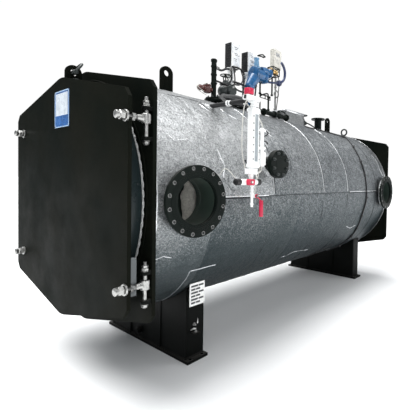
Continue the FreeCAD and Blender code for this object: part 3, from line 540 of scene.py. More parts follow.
def bolt_places(centre, axis, circle, count, shift=0.5):
    """Places on a bolt circle about an axis that is square to X."""
    along = Vector(axis).normalized()
    first = Vector(REAR) if abs(along.x) < 0.5 else Vector(FAR)
    other = along.cross(first)
    angles = [TAU * (index + shift) / count for index in range(count)]
    return [Vector(centre) + (first * math.cos(a) + other * math.sin(a)) * (circle / 2) for a in angles]


def curve_through(route, steps):
    """Points along a Catmull-Rom line through the route."""
    points = [Vector(p) for p in route]
    if len(points) == 2:
        return points
    padded = [points[0] * 2 - points[1], *points, points[-1] * 2 - points[-2]]
    line = []
    for index in range(1, len(padded) - 2):
        p0, p1, p2, p3 = padded[index - 1:index + 3]
        for step in range(steps):
            t = step / steps
            line.append(0.5 * (2 * p1 + (p2 - p0) * t + (2 * p0 - 5 * p1 + 4 * p2 - p3) * t * t
                + (3 * p1 - p0 - 3 * p2 + p3) * t ** 3))
    line.append(points[-1])
    return line


def on_jacket(x, degrees, lift=0.0):
    """A point on the jacket: degrees run from the top towards the near side."""
    angle = math.radians(degrees)
    radius = JACKET_R + lift
    return Vector((x, -math.sin(angle) * radius, AXIS_Z + math.cos(angle) * radius))


# ---------------------------------------------------------------- foil lagging
CELL = 0.0155
HOLES_NEAR = [(FRONT_NOZZLE.x, AXIS_Z, NOZZLE_R + 0.012), (REAR_NOZZLE.x, AXIS_Z, NOZZLE_R + 0.012),
    (middle("blind_nozzle").x, middle("blind_nozzle").z, 0.078)]
HOLES_TOP = [(middle("front_pad").x, 0.0, 0.15), (middle("rear_pad").x, 0.0, 0.122),
    (middle("steam_outlet").x, 0.0, 0.064), (middle("vent_valve").x, 0.0, 0.028),
    (PROBE_A[0], PROBE_A[1], 0.032), (*DRAIN_DROP, 0.024)]
POCKETS = [(middle(name + "_saddle").x, 0.091, 0.607) for name in ("front", "rear")]
LUG_SLOTS = [(x, 0.068, 0.018) for x in LUG_PLACES]


def push_out(place, centre, half):
    """Moves a 2-D point inside a rectangle to its nearest side."""
    dx, dy = place[0] - centre[0], place[1] - centre[1]
    if half[0] - abs(dx) < half[1] - abs(dy):
        return (centre[0] + math.copysign(half[0], dx), place[1])
    return (place[0], centre[1] + math.copysign(half[1], dy))


def hole_edge(point):
    """None outside every hole, or the nearest place on the hole's edge."""
    x, y, z = point
    if y < -0.3:
        for cx, cz, radius in HOLES_NEAR:
            gap = math.hypot(x - cx, z - cz)
            if gap < radius:
                scale = radius / max(gap, 1e-4)
                return Vector((cx + (x - cx) * scale, y, cz + (z - cz) * scale))
    if z > AXIS_Z:
        for cx, cy, radius in HOLES_TOP:
            gap = math.hypot(x - cx, y - cy)
            if gap < radius:
                scale = radius / max(gap, 1e-4)
                return Vector((cx + (x - cx) * scale, cy + (y - cy) * scale, z))
        for cx, half_x, half_y in LUG_SLOTS:
            if abs(x - cx) < half_x and abs(y) < half_y:
                px, py = push_out((x, y), (cx, 0.0), (half_x, half_y))
                return Vector((px, py, z))
    elif z < AXIS_Z - 0.3:
        for cx, half_x, half_y in POCKETS:
            if abs(x - cx) < half_x and abs(y) < half_y:
                px, py = push_out((x, y), (cx, 0.0), (half_x, half_y))
                return Vector((px, py, z))
    return None


def crumple(x, degrees, seed):
    """How far the foil stands off the wool: broad pillows, ridged creases and small dents."""
    place = Vector((x, math.radians(degrees) * JACKET_R, seed))
    pillow = noise.noise(place * 1.9) * 0.003
    ridge = 1.0 - abs(noise.noise(place * 5.5 + Vector((7.0, 1.0, 0.0))))
    fine = 1.0 - abs(noise.noise(place * 17.0))
    return 0.003 + pillow + ridge ** 6 * 0.0032 + fine ** 4 * 0.0014 + noise.noise(place * 42.0) * 0.0007


def foil_sheet(name, x_range, angle_range, material, seed):
    """One crumpled sheet of the jacket, with its holes cut and its edges pressed down."""
    columns = max(2, round((x_range[1] - x_range[0]) / CELL))
    rows = max(2, round(math.radians(angle_range[1] - angle_range[0]) * JACKET_R / CELL))
    points = []
    inside = []
    for row in range(rows + 1):
        degrees = angle_range[0] + (angle_range[1] - angle_range[0]) * row / rows
        for column in range(columns + 1):
            x = x_range[0] + (x_range[1] - x_range[0]) * column / columns
            rim = min(column, columns - column, row, rows - row)
            lift = crumple(x, degrees, seed) * min(1.0, 0.35 + rim * 0.25)
            place = on_jacket(x, degrees, max(0.0006, lift))
            edge = hole_edge(place)
            inside.append(edge is not None)
            if edge is None:
                points.append(place)
            else:
                if abs(edge.y) > 0.7 * JACKET_R and AXIS_Z - 0.5 < edge.z < AXIS_Z + 0.6:
                    side = math.sqrt(max(0.0, (JACKET_R + 0.001) ** 2 - (edge.z - AXIS_Z) ** 2))
                    flat = Vector((0.0, math.copysign(side, edge.y), edge.z - AXIS_Z))
                else:
                    up = math.sqrt(max(0.0, (JACKET_R + 0.001) ** 2 - edge.y ** 2))
                    flat = Vector((0.0, edge.y, math.copysign(up, edge.z - AXIS_Z)))
                points.append(Vector((edge.x, flat.y, AXIS_Z + flat.z)))
    shape = Shape()
    faces = [face for face in quads(rows, columns) if not all(inside[i] for i in face)]
    used = sorted({i for face in faces for i in face})
    index = {old: new for new, old in enumerate(used)}
    shape.add([points[i] for i in used], [tuple(index[i] for i in face) for face in faces])
    shape.make(name, material, crisp=60)


def tape_strip(shape, start, end, width, lift=0.0075, wobble=0.01, seed=0.0):
    """A crumpled strip of tape on the jacket between two (x, degrees) places."""
    a = Vector((start[0], math.radians(start[1]) * JACKET_R))
    b = Vector((end[0], math.radians(end[1]) * JACKET_R))
    length = (b - a).length
    along = (b - a) / length
    across = Vector((-along.y, along.x))
    steps = max(3, round(length / 0.02))
    lanes = 4
    points = []
    for step in range(steps + 1):
        drift = noise.noise(Vector((step * 0.11, seed, 3.0))) * wobble
        swell = 1.0 + 0.25 * noise.noise(Vector((step * 0.31, seed, 9.0)))
        for lane in range(lanes + 1):
            side = (lane / lanes - 0.5) * width * swell + drift
            flat = a + along * (length * step / steps) + across * side
            rise = lift + noise.noise(Vector((flat.x * 60, flat.y * 60, seed))) * 0.0022
            rise -= 0.003 if lane in (0, lanes) else 0.0
            points.append(on_jacket(flat.x, math.degrees(flat.y / JACKET_R), rise))
    shape.add(points, quads(steps, lanes))


def collar(shape, centre, axis, inner, outer, seed, curl=0.035, turns=96, rings=9):
    """Foil gathered round a nozzle: it lies on the jacket outside and curls up the pipe inside."""
    points = []
    for ring in range(rings + 1):
        share = ring / rings
        for turn in range(turns):
            angle = TAU * turn / turns
            around = Vector((math.cos(angle) * 3, math.sin(angle) * 3, seed))
            ragged = 1.0 + 0.1 * noise.noise(around) * share
            radius = inner + (outer - inner) * share ** 1.3 * ragged
            u, v = math.cos(angle) * radius, math.sin(angle) * radius
            fold = 0.004 * math.sin(angle * 23 + 3 * noise.noise(Vector((angle, seed, 0)))) * (1 - share)
            crease = noise.noise(Vector((u * 50, v * 50, seed)))
            rise = 0.0085 + curl * (1 - share) ** 2.6 + fold + 0.003 * crease
            if axis == "near":
                height = centre[1] + v - AXIS_Z
                depth = math.sqrt(max(0.0, (JACKET_R + rise) ** 2 - height ** 2))
                points.append(Vector((centre[0] + u, -depth, centre[1] + v)))
            else:
                depth = math.sqrt(max(0.0, (JACKET_R + rise) ** 2 - (centre[1] + v) ** 2))
                points.append(Vector((centre[0] + u, centre[1] + v, AXIS_Z + depth)))
    shape.add(points, quads(rings, turns, True))


def make_lagging():
    """The foil skin over every lagging mat."""
    wrap = (NEAR_MAT[1], NEAR_MAT[0] + 360)
    foil_sheet("foil_front_nozzle_mat", (JACKET_FRONT, MAT_FRONT), NEAR_MAT, FOIL_A, 1.0)
    foil_sheet("foil_front_wrap", (JACKET_FRONT, MAT_FRONT), wrap, FOIL_A, 2.0)
    foil_sheet("foil_middle_top_a", (MAT_FRONT, 0.6), TOP_MAT, FOIL_A, 3.0)
    foil_sheet("foil_middle_top_b", (0.6, 1.52), TOP_MAT, FOIL_B, 4.0)
    foil_sheet("foil_middle_top_c", (1.52, MAT_REAR), TOP_MAT, FOIL_C, 5.0)
    foil_sheet("foil_middle_bottom_a", (MAT_FRONT, 1.02), BOTTOM_MAT, FOIL_B, 6.0)
    foil_sheet("foil_middle_bottom_b", (1.02, MAT_REAR), BOTTOM_MAT, FOIL_C, 7.0)
    foil_sheet("foil_rear_nozzle_mat", (MAT_REAR, JACKET_REAR), NEAR_MAT, FOIL_C, 8.0)
    foil_sheet("foil_rear_wrap", (MAT_REAR, JACKET_REAR), wrap, FOIL_C, 9.0)


# ---------------------------------------------------------------- jacket seams, tapes and wires
def tape_path(shape, places, width, lift=0.0075, wobble=0.008, seed=0.0):
    """Tape along several (x, degrees) places."""
    for index in range(len(places) - 1):
        tape_strip(shape, places[index], places[index + 1], width, lift, wobble, seed + index)


def jacket_route(places, lift):
    return [on_jacket(x, degrees, lift) for x, degrees in places]


def make_seams():
    """Overlaps and tapes of the foil, bright where the cut edge has lifted, with a dark strip of painted
    shadow under them.
    """
    bright = Shape()
    # The dark strips are painted shadow under the seams and in the creases.
    dark = Shape()
    level = (-0.07, 0.523, 88.9)
    far_level = (2.158, 3.034, 88.5)
    for start, end, degrees in (level, far_level):
        tape_strip(bright, (start, degrees), (end, degrees), 0.01, 0.008, 0.004, degrees)
        tape_strip(dark, (start, degrees + 0.75), (end, degrees + 0.75), 0.014, 0.0066, 0.003, degrees)
    tape_strip(dark, (0.523, 89.2), (2.158, 88.9), 0.005, 0.0062, 0.003, 4.0)
    for x, width in ((0.6, 0.006), (1.5, 0.013), (2.1, 0.013)):
        tape_strip(bright, (x, 22.0), (x, 88.0), width, 0.008, 0.008, x)
        tape_strip(dark, (x + 0.016, 22.0), (x + 0.016, 88.0), 0.007, 0.0062, 0.006, x)
        tape_strip(bright, (x, -80.0), (x, -22.0), width, 0.008, 0.008, x + 1)
        tape_strip(dark, (x, 90.0), (x, 262.0), 0.006, 0.0062, 0.006, x + 2)
    tape_strip(dark, (3.03, 20.0), (3.03, 150.0), 0.005, 0.006, 0.006, 3.0)
    for x in (-0.11, 3.03):
        tape_strip(dark, (x, -140.0), (x, -20.0), 0.005, 0.006, 0.006, x + 3)
    for x in (JACKET_FRONT + 0.01, JACKET_REAR - 0.01):
        tape_strip(bright, (x, 0.0), (x, 360.0), 0.013, 0.007, 0.004, x)
    for places, width in (
        (((0.084, 33.5), (0.11, 39.0), (0.186, 41.3)), 0.014),
        (((0.325, 33.4), (0.352, 39.3), (0.421, 41.9)), 0.014),
        (((0.745, 41.8), (0.775, 45.2), (0.799, 49.3)), 0.012),
        (((0.64, 50.0), (0.729, 47.5), (0.79, 52.0)), 0.02),
        (((0.56, 56.0), (0.616, 57.3), (0.64, 61.0)), 0.022),
        (((0.52, 60.5), (0.57, 62.3), (0.6, 66.0)), 0.02),
        (((-0.02, 66.0), (0.02, 74.0), (-0.01, 80.0)), 0.012),
        (((0.3, 79.0), (0.34, 83.0), (0.31, 87.0)), 0.01),
        (((-0.325, 147.5), (-0.213, 152.0), (-0.195, 144.2), (-0.193, 132.3), (-0.193, 125.3),
        (0.056, 125.4)), 0.012),
        (((-0.56, 114.0), (-0.48, 113.2), (-0.42, 114.5)), 0.008),
        (((3.3, 52.0), (3.36, 60.0), (3.33, 68.0), (3.38, 74.0)), 0.02),
        (((3.44, 48.0), (3.47, 60.0), (3.46, 70.0), (3.48, 78.0)), 0.026),
        (((-0.46, 60.0), (-0.4, 64.0), (-0.28, 62.5), (-0.18, 66.5)), 0.006),
        (((1.1, 136.0), (1.3, 133.0), (1.62, 135.5)), 0.007),
        (((2.3, 118.0), (2.46, 121.0), (2.6, 119.0)), 0.009),
    ):
        tape_path(bright, places, width, seed=places[0][0] * 7)
    # More strips of painted shadow, in creases of the foil.
    for places, width in (
        (((-0.445, 92.4), (-0.44, 96.4)), 0.006),
        (((-0.473, 94.8), (-0.468, 97.8)), 0.006),
        (((0.266, 70.2), (0.271, 72.0)), 0.022),
        (((-0.2, 30.0), (-0.05, 28.4), (0.1, 29.6)), 0.005),
        (((0.9, 58.0), (0.93, 66.0), (0.91, 74.0)), 0.004),
    ):
        tape_path(dark, places, width, seed=places[0][0] * 5)
    bright.make("jacket_tapes", TAPE, crisp=60)
    dark.make("jacket_seam_shadows", CREASE_SHADOW, crisp=60)

    wire = Shape()
    strap = ((2.965, 24.0), (2.93, 30.0), (2.762, 46.7), (2.695, 62.5), (2.673, 74.6), (2.683, 93.6),
             (2.655, 109.5), (2.7, 122.0), (2.727, 131.7), (2.7, 146.0), (2.62, 158.0))
    wire.tube(jacket_route(strap, 0.013), 0.01, 8, 6)
    for index, (x, degrees) in enumerate(strap[2:-1]):
        knot = on_jacket(x, degrees, 0.012)
        wire.bar(knot + Vector((-0.016, 0.004, 0.012)),
            knot + Vector((0.016, -0.004, -0.01)), 0.016, 8, 0.004)
        wire.bar(knot + Vector((0.006, 0.0, 0.03 - 0.006 * (index % 3))),
            knot + Vector((-0.006, 0.0, -0.03)), 0.0125, 8, 0.004)
    wire.tube(jacket_route(((1.92, 24.0), (2.009, 25.7), (2.28, 25.0), (2.559, 25.5), (2.74, 27.6),
        (2.899, 30.5)), 0.011), 0.008, 8, 5)
    wire.tube(jacket_route(((2.62, 158.0), (2.5, 150.0), (2.3, 146.5), (2.16, 149.0), (2.02, 156.0)),
        0.01), 0.0045, 8, 6)
    wire.tube(jacket_route(((2.35, 140.0), (2.2, 139.0), (2.08, 144.0), (2.0, 152.0)), 0.01), 0.0045, 8, 6)
    wire.make("jacket_cables", CABLE)

    collars = Shape()
    blind = middle("blind_nozzle")
    collar(collars, (blind.x, blind.z), "near", 0.0712, 0.135, 2.0, 0.03)
    collar(collars, (GAUGE.x, TOP_BRANCH_Z), "near", 0.0175, 0.062, 3.0, 0.02, 48, 6)
    collar(collars, (LOW_BRANCH_X, LOW_BRANCH_Z), "near", 0.0195, 0.085, 4.0, 0.022, 48, 6)
    for nozzle, seed in ((FRONT_NOZZLE, 5.0), (REAR_NOZZLE, 6.0)):
        collar(collars, (nozzle.x, nozzle.z), "near", NOZZLE_R + 0.0015,
            NOZZLE_R + 0.02, seed, 0.014, 128, 5)
    collar(collars, (middle("front_pad").x, 0.0), "top", 0.147, 0.235, 7.0, 0.03)
    collar(collars, (middle("rear_pad").x, 0.0), "top", 0.119, 0.19, 8.0, 0.03)
    collar(collars, (middle("steam_outlet").x, 0.0), "top", 0.0585, 0.105, 9.0, 0.03, 72, 7)
    collar(collars, (middle("vent_valve").x, 0.0), "top", 0.0235, 0.06, 10.0, 0.02, 48, 6)
    collar(collars, (PROBE_A[0], PROBE_A[1]), "top", 0.0285, 0.07, 11.0, 0.02, 48, 6)
    collar(collars, DRAIN_DROP, "top", 0.0195, 0.06, 12.0, 0.018, 48, 6)
    collars.make("foil_collars", FOIL_A, crisp=60)


# ---------------------------------------------------------------- front door
def make_door_fittings():
    """Bolts and threads, the hinge's eyes, the sign, the shackle, the drum's trims and its rope."""
    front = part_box("door_plate")[0].x
    bolts = Shape()
    threads = Shape()
    for z in BOLT_LEVELS:
        for y in (HINGE_Y, BOLT_Y):
            def at(distance):
                return (front + distance, y, z)
            bolts.band(at(-0.012), REAR, 0.01, 0.036, 0.012, 32, 0.002)
            bolts.hexagon(at(-0.014), FRONT, 0.05, 0.032, turn=0.2 + z)
            bolts.lathe(at(-0.046), FRONT, [(0, 0.023), (0.003, 0.025), (0.017, 0.025), (0.021, 0.021),
                (0.0235, 0.012)], 24)
            shank_end = HINGE_X - 0.026 if y == HINGE_Y else ROPE_BACK
            threads.thread(at(0.0), (shank_end, y, z), 0.015, 0.0042, 16)
            bolts.band(at(0.026), REAR, 0.012, 0.027, 0.004, 24, 0.001)
            bolts.hexagon(at(0.03), REAR, 0.044, 0.02, turn=0.5)
        bolts.lathe((HINGE_X, HINGE_Y, z - 0.03), UP,
                    [(0, 0.0128), (0, 0.0255), (0.003, 0.028), (0.057, 0.028), (0.06, 0.0255),
                    (0.06, 0.0128)], 32, closed=True)
        bolts.lathe((HINGE_X - 0.06, HINGE_Y, z), REAR, [(0, 0.0165), (0.008, 0.0185), (0.036, 0.0235)], 24)
    bolts.make("door_bolt_heads", ZINC, "door", stands_for=("door_bolts",))
    threads.make("door_bolt_threads", STEEL, "door")

    sign_low, sign_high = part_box("door_sign")
    face = sign_low.x
    panel = Shape()
    panel.block((face - 0.0014, sign_low.y + 0.02, sign_low.z + 0.088),
        (face + 0.001, sign_high.y - 0.02, sign_high.z - 0.018), 0.0006)
    panel.make("door_sign_panel", SIGN_WHITE, "door")
    rim = Shape()
    for low, high in (
        ((sign_low.y, sign_low.z), (sign_low.y + 0.007, sign_high.z)),
        ((sign_high.y - 0.007, sign_low.z), (sign_high.y, sign_high.z)),
        ((sign_low.y, sign_low.z), (sign_high.y, sign_low.z + 0.007)),
        ((sign_low.y, sign_high.z - 0.007), (sign_high.y, sign_high.z)),
    ):
        rim.block((face - 0.001, *low), (face + 0.001, *high), 0.0004)
    rim.make("door_sign_rim", SIGN_PALE, "door")
    rivets = Shape()
    for y in (sign_low.y + 0.0135, sign_high.y - 0.0135):
        for z in (sign_low.z + 0.0135, sign_high.z - 0.01):
            rivets.lathe((face, y, z), FRONT, [(-0.001, 0.004), (0.0012, 0.0036), (0.0022, 0.002),
                (0.0026, 0.0004)], 14)
    rivets.make("door_sign_rivets", ZINC, "door")

    lug_low, lug_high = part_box("door_lifting_lug")
    lug_x = (lug_low.x + lug_high.x) / 2
    eye_z = lug_high.z - (lug_high.x - lug_low.x) / 2
    shackle = Shape()
    shackle.bar((lug_x, -0.04, eye_z), (lug_x, 0.034, eye_z), 0.0105, 16, 0.002)
    shackle.bar((lug_x, -0.05, eye_z), (lug_x, -0.04, eye_z), 0.018, 16, 0.002)
    bow = [(lug_x, -0.024, eye_z), (lug_x + 0.012, -0.03, eye_z + 0.02),
        (lug_x + 0.034, -0.036, eye_z + 0.05),
           (lug_x + 0.052, -0.02, eye_z + 0.074), (lug_x + 0.058, 0.0, eye_z + 0.082),
           (lug_x + 0.052, 0.02, eye_z + 0.074),
           (lug_x + 0.034, 0.036, eye_z + 0.05), (lug_x + 0.012, 0.03, eye_z + 0.02), (lug_x, 0.024, eye_z)]
    shackle.tube(bow, 0.0095, 12, 6)
    for side in (-1, 1):
        shackle.bar((lug_x, side * 0.016, eye_z), (lug_x, side * 0.034, eye_z), 0.02, 20, 0.003)
    shackle.make("door_shackle", CASTING, "door")

    drum_front, drum_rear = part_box("door_lining")[0].x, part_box("door_lining")[1].x
    trims = Shape()
    trims.band((drum_rear - 0.006, 0.0, AXIS_Z), REAR, 0.878, DRUM_R, 0.006, 192, 0.001)
    trims.ring((drum_front + 0.001, 0.0, AXIS_Z), REAR, 0.8825, 0.005, 192, 6)
    for index in range(24):
        angle = TAU * (index + 0.5) / 24
        spot = Vector((drum_rear - 0.022, math.cos(angle) * 0.8795, AXIS_Z + math.sin(angle) * 0.8795))
        trims.lathe(spot, (0, math.cos(angle), math.sin(angle)),
            [(0, 0.0065), (0.0022, 0.006), (0.004, 0.003), (0.0046, 0.0006)], 10)
    trims.make("drum_trims", DRUM, "door")
    rope = Shape()
    strands = 420
    middle_x, half = (ROPE_FRONT + ROPE_BACK) / 2, (ROPE_BACK - ROPE_FRONT) / 2
    for strand in range(2):
        points = []
        turns, around = strands * 2, 6
        for index in range(turns):
            angle = TAU * index / turns
            twist = TAU * (index * strands / 10 / turns) + math.pi * strand
            x = middle_x + math.cos(twist) * half * 0.4
            radius = ROPE_R + math.sin(twist) * 0.0055
            for k in range(around):
                phase = TAU * k / around
                rr = radius + math.sin(phase) * 0.0085
                points.append((x + math.cos(phase) * half * 0.58, math.cos(angle) * rr,
                    AXIS_Z + math.sin(angle) * rr))
        rope.add(points, quads(turns, around, True, True))
    rope.make("door_rope", ROPE, "door", 60, stands_for=("door_rope_seal",))

    tab = Shape()
    tab_low, tab_high, tab_x0, tab_x1 = 0.8, 1.045, -0.752, -0.704
    tab.hull([(x, y, z) for y in (-0.936, -0.93) for x, z in (
        (tab_x0, tab_low), (tab_x1, tab_low), (tab_x1, tab_high - 0.018),
        (tab_x1 - 0.008, tab_high - 0.006),
        (tab_x1 - 0.02, tab_high), (tab_x0 + 0.02, tab_high), (tab_x0 + 0.008, tab_high - 0.006),
        (tab_x0, tab_high - 0.018))])
    tab.make("door_stop_tab", GREY_TAB, "door")
    foot = Shape()
    foot.block((-0.756, -0.938, 0.795), (-0.7, -0.88, 0.803), 0.001)
    foot.studs((-0.728, -0.936, 0.842), NEAR, 0.0, 1, 0.016)
    foot.make("door_stop_foot", SADDLE_BLACK, "door")


def make_hinge_pins():
    """Pins through the ears, threaded at the top, with lock nuts and washers."""
    pins = Shape()
    threads = Shape()
    for low, high in EAR_LEVELS:
        pins.bar((HINGE_X, HINGE_Y, low - 0.03), (HINGE_X, HINGE_Y, high + 0.016), 0.0119, 20, 0.001)
        threads.thread((HINGE_X, HINGE_Y, high + 0.012),
            (HINGE_X, HINGE_Y, high + 0.072), 0.0119, 0.0036, 16)
        threads.thread((HINGE_X, HINGE_Y, low - 0.04), (HINGE_X, HINGE_Y, low - 0.012), 0.0119, 0.0036, 16)
        pins.band((HINGE_X, HINGE_Y, high + 0.0125), UP, 0.0119, 0.0235, 0.003, 28, 0.0008)
        pins.hexagon((HINGE_X, HINGE_Y, high + 0.016), UP, 0.036, 0.017, turn=0.3)
        pins.hexagon((HINGE_X, HINGE_Y, high + 0.034), UP, 0.036, 0.015, turn=0.9)
        pins.band((HINGE_X, HINGE_Y, low - 0.0125), DOWN, 0.0119, 0.0235, 0.003, 28, 0.0008)
        pins.hexagon((HINGE_X, HINGE_Y, low - 0.016), DOWN, 0.036, 0.018, turn=0.1)
    pins.make("hinge_pin_nuts", ZINC, stands_for=("hinge_pins",))
    threads.make("hinge_pin_threads", STEEL)


# ---------------------------------------------------------------- nozzles
def make_flue_fittings():
    """Raised faces, bright drilled holes, weld beads and what is seen through the open bores."""
    faces = Shape()
    bright = Shape()
    beads = Shape()
    bores = Shape()
    wool = Shape()
    for nozzle in (FRONT_NOZZLE, REAR_NOZZLE):
        face = Vector((nozzle.x, NOZZLE_FACE, AXIS_Z))
        back = face + Vector((0, FLANGE_THICKNESS, 0))
        inner = NOZZLE_R - 0.0085
        faces.band(face, NEAR, inner + 0.002, 0.2125, 0.0026, 128, 0.0008)
        for radius in (0.186, 0.193, 0.2, 0.207):
            faces.ring(face + Vector((0, -0.0026, 0)), NEAR, radius, 0.001, 128, 6)
        beads.ring(face + Vector((0, 0.004, 0)), NEAR, inner - 0.0005, 0.0042, 128, 8)
        beads.ring(face + Vector((0, 0.03, 0)), NEAR, inner - 0.0002, 0.003, 128, 8)
        beads.ring(back + Vector((0, 0.002, 0)), NEAR, NOZZLE_R, 0.0065, 128, 8)
        for place in bolt_places(face, NEAR, FLUE_CIRCLE, FLUE_HOLES):
            bright.band(place, NEAR, 0.0108, 0.0138, 0.0008, 24, 0.0003)
            bright.lathe(place + Vector((0, 0.0005, 0)), FAR,
                [(0, 0.0109), (0.0255, 0.0109), (0.0255, 0.0102), (0, 0.0102)], 24, closed=True)
        start = face + Vector((0, 0.03, 0))
        bores.lathe(start, FAR, [(0, inner - 0.0004), (0.205, inner - 0.0004), (0.205, inner - 0.003),
            (0, inner - 0.003)], 96, closed=True)
        bores.ring(face + Vector((0, 0.19, 0)), NEAR, inner - 0.002, 0.0045, 96, 8)
        depth = 0.33
        far_side = min(nozzle.x + 0.33, JACKET_REAR - 0.01)
        bores.block((nozzle.x - 0.23, NOZZLE_FACE + depth, AXIS_Z - 0.23),
            (far_side, NOZZLE_FACE + depth + 0.006, AXIS_Z + 0.23), 0.002)
        bores.block((far_side - 0.006, NOZZLE_FACE + 0.25, AXIS_Z - 0.215),
            (far_side, NOZZLE_FACE + depth, AXIS_Z + 0.215), 0.001)
        wool_x = nozzle.x + (0.145 if nozzle is FRONT_NOZZLE else -0.02)
        wool_panel(wool, (wool_x, NOZZLE_FACE + 0.295), 0.13, (AXIS_Z - 0.19, AXIS_Z + 0.14), nozzle.x)
    faces.make("flue_raised_faces", FITTING_BLACK)
    bright.make("flue_bolt_holes", STEEL)
    beads.make("flue_weld_beads", FITTING_BLACK)
    bores.make("flue_bore_walls", BORE)
    wool.make("flue_bore_wool", WOOL, crisp=60)


def wool_panel(shape, corner, width, levels, seed):
    """A lumpy slab of wool that hangs in the XZ plane in front of corner's Y."""
    columns, rows = 26, 70
    points = []
    for row in range(rows + 1):
        z = levels[0] + (levels[1] - levels[0]) * row / rows
        edge = 0.014 * noise.noise(Vector((z * 14, seed, 1.0)))
        for column in range(columns + 1):
            share = column / columns
            x = corner[0] + (share - 0.5) * width + edge * (1 - share) * 2
            bulge = 0.03 * math.sin(math.pi * share) ** 0.6
            lumps = 0.02 * noise.noise(Vector((x * 26, z * 18,
                seed))) + 0.007 * noise.noise(Vector((x * 90, z * 80, seed)))
            points.append((x, corner[1] - bulge - lumps * math.sin(math.pi * share), z))
    shape.add(points, quads(rows, columns))


def make_blind_fittings():
    """The blind flange's bolts, nuts and turned rings, and the steam outlet's drilled face."""
    centre = middle("blind_nozzle")
    face = Vector((centre.x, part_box("blind_nozzle")[0].y, centre.z))
    bolts = Shape()
    bolts.studs(face, NEAR, BLIND_CIRCLE, BLIND_BOLTS, 0.024, 0.009)
    back = face + Vector((0, 0.05, 0))
    bolts.studs(back, FAR, BLIND_CIRCLE, BLIND_BOLTS, 0.024, 0.006)
    bolts.make("blind_flange_bolts", CASTING)
    rings = Shape()
    rings.lathe(face, NEAR, [(-0.004, 0.062), (0.0018, 0.06), (0.0022, 0.03), (0.0022, 0.001)], 64)
    rings.ring(face + Vector((0, 0.002, 0)), NEAR, 0.1225, 0.0024, 96, 6)
    rings.ring(back + Vector((0, 0.003, 0)), NEAR, 0.07, 0.0065, 72, 8)
    rings.make("blind_flange_rings", FITTING_BLACK)
    gasket = Shape()
    gasket.band(face + Vector((0, 0.0235, 0)), FAR, 0.09, 0.1215, 0.003, 72, 0.0006)
    gasket.make("blind_flange_gasket", WOOL)

    outlet = middle("steam_outlet")
    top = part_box("steam_outlet")[1].z
    mouth = Vector((outlet.x, 0.0, top))
    trims = Shape()
    trims.band(mouth, UP, 0.0525, 0.079, 0.0018, 64, 0.0006)
    trims.ring(mouth + Vector((0, 0, -0.02)), UP, 0.0575, 0.005, 64, 8)
    trims.make("steam_outlet_trims", FITTING_BLACK)
    plug = Shape()
    plug.lathe(mouth + Vector((0, 0, -0.004)), UP, [(0, 0.05), (0.004, 0.0506), (0.0075, 0.047),
        (0.009, 0.03), (0.0095, 0.002)], 48)
    plug.make("steam_outlet_plug", CABLE)
    holes = Shape()
    for place in bolt_places(mouth, UP, STEAM_CIRCLE, STEAM_BOLTS):
        holes.band(place, UP, 0.0088, 0.0115, 0.0008, 20, 0.0003)
    holes.make("steam_outlet_holes", STEEL)


# ---------------------------------------------------------------- ridge fittings
def flange_stack(shape, origin, axis, radius, thickness, count, across):
    """Two flanges bolted face to face about origin, with studs and a nut at each end."""
    along = Vector(axis).normalized()
    place = Vector(origin)
    shape.band(place - along * (thickness + 0.001), along, 0.002, radius, thickness, 40, 0.0015)
    shape.band(place + along * 0.001, along, 0.002, radius, thickness, 40, 0.0015)
    circle = radius * 2 - across * 1.6
    shape.studs(place + along * (thickness + 0.001), along, circle, count, across, across * 0.3)
    shape.studs(place - along * (thickness + 0.001), -along, circle, count, across, across * 0.3)


def make_pad_fittings():
    """Studs and nuts on the two pads, and a turned edge line round each."""
    studs = Shape()
    lines = Shape()
    for node, count, across in (("front_pad", 16, 0.027), ("rear_pad", 12, 0.024)):
        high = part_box(node)[1]
        centre = Vector((middle(node).x, 0.0, high.z))
        radius = high.y
        studs.studs(centre, UP, 2 * radius - 0.054, count, across, 0.01)
        lines.ring(centre + Vector((0, 0, -0.019)), UP, radius - 0.0003, 0.0022, 96, 6)
        lines.ring(centre + Vector((0, 0, -0.036)), UP, radius - 0.045, 0.006, 72, 8)
        lines.band(centre, UP, radius * 0.3, radius * 0.62, 0.003, 64, 0.001)
    studs.make("pad_studs", CASTING)
    lines.make("pad_lines", FITTING_BLACK)


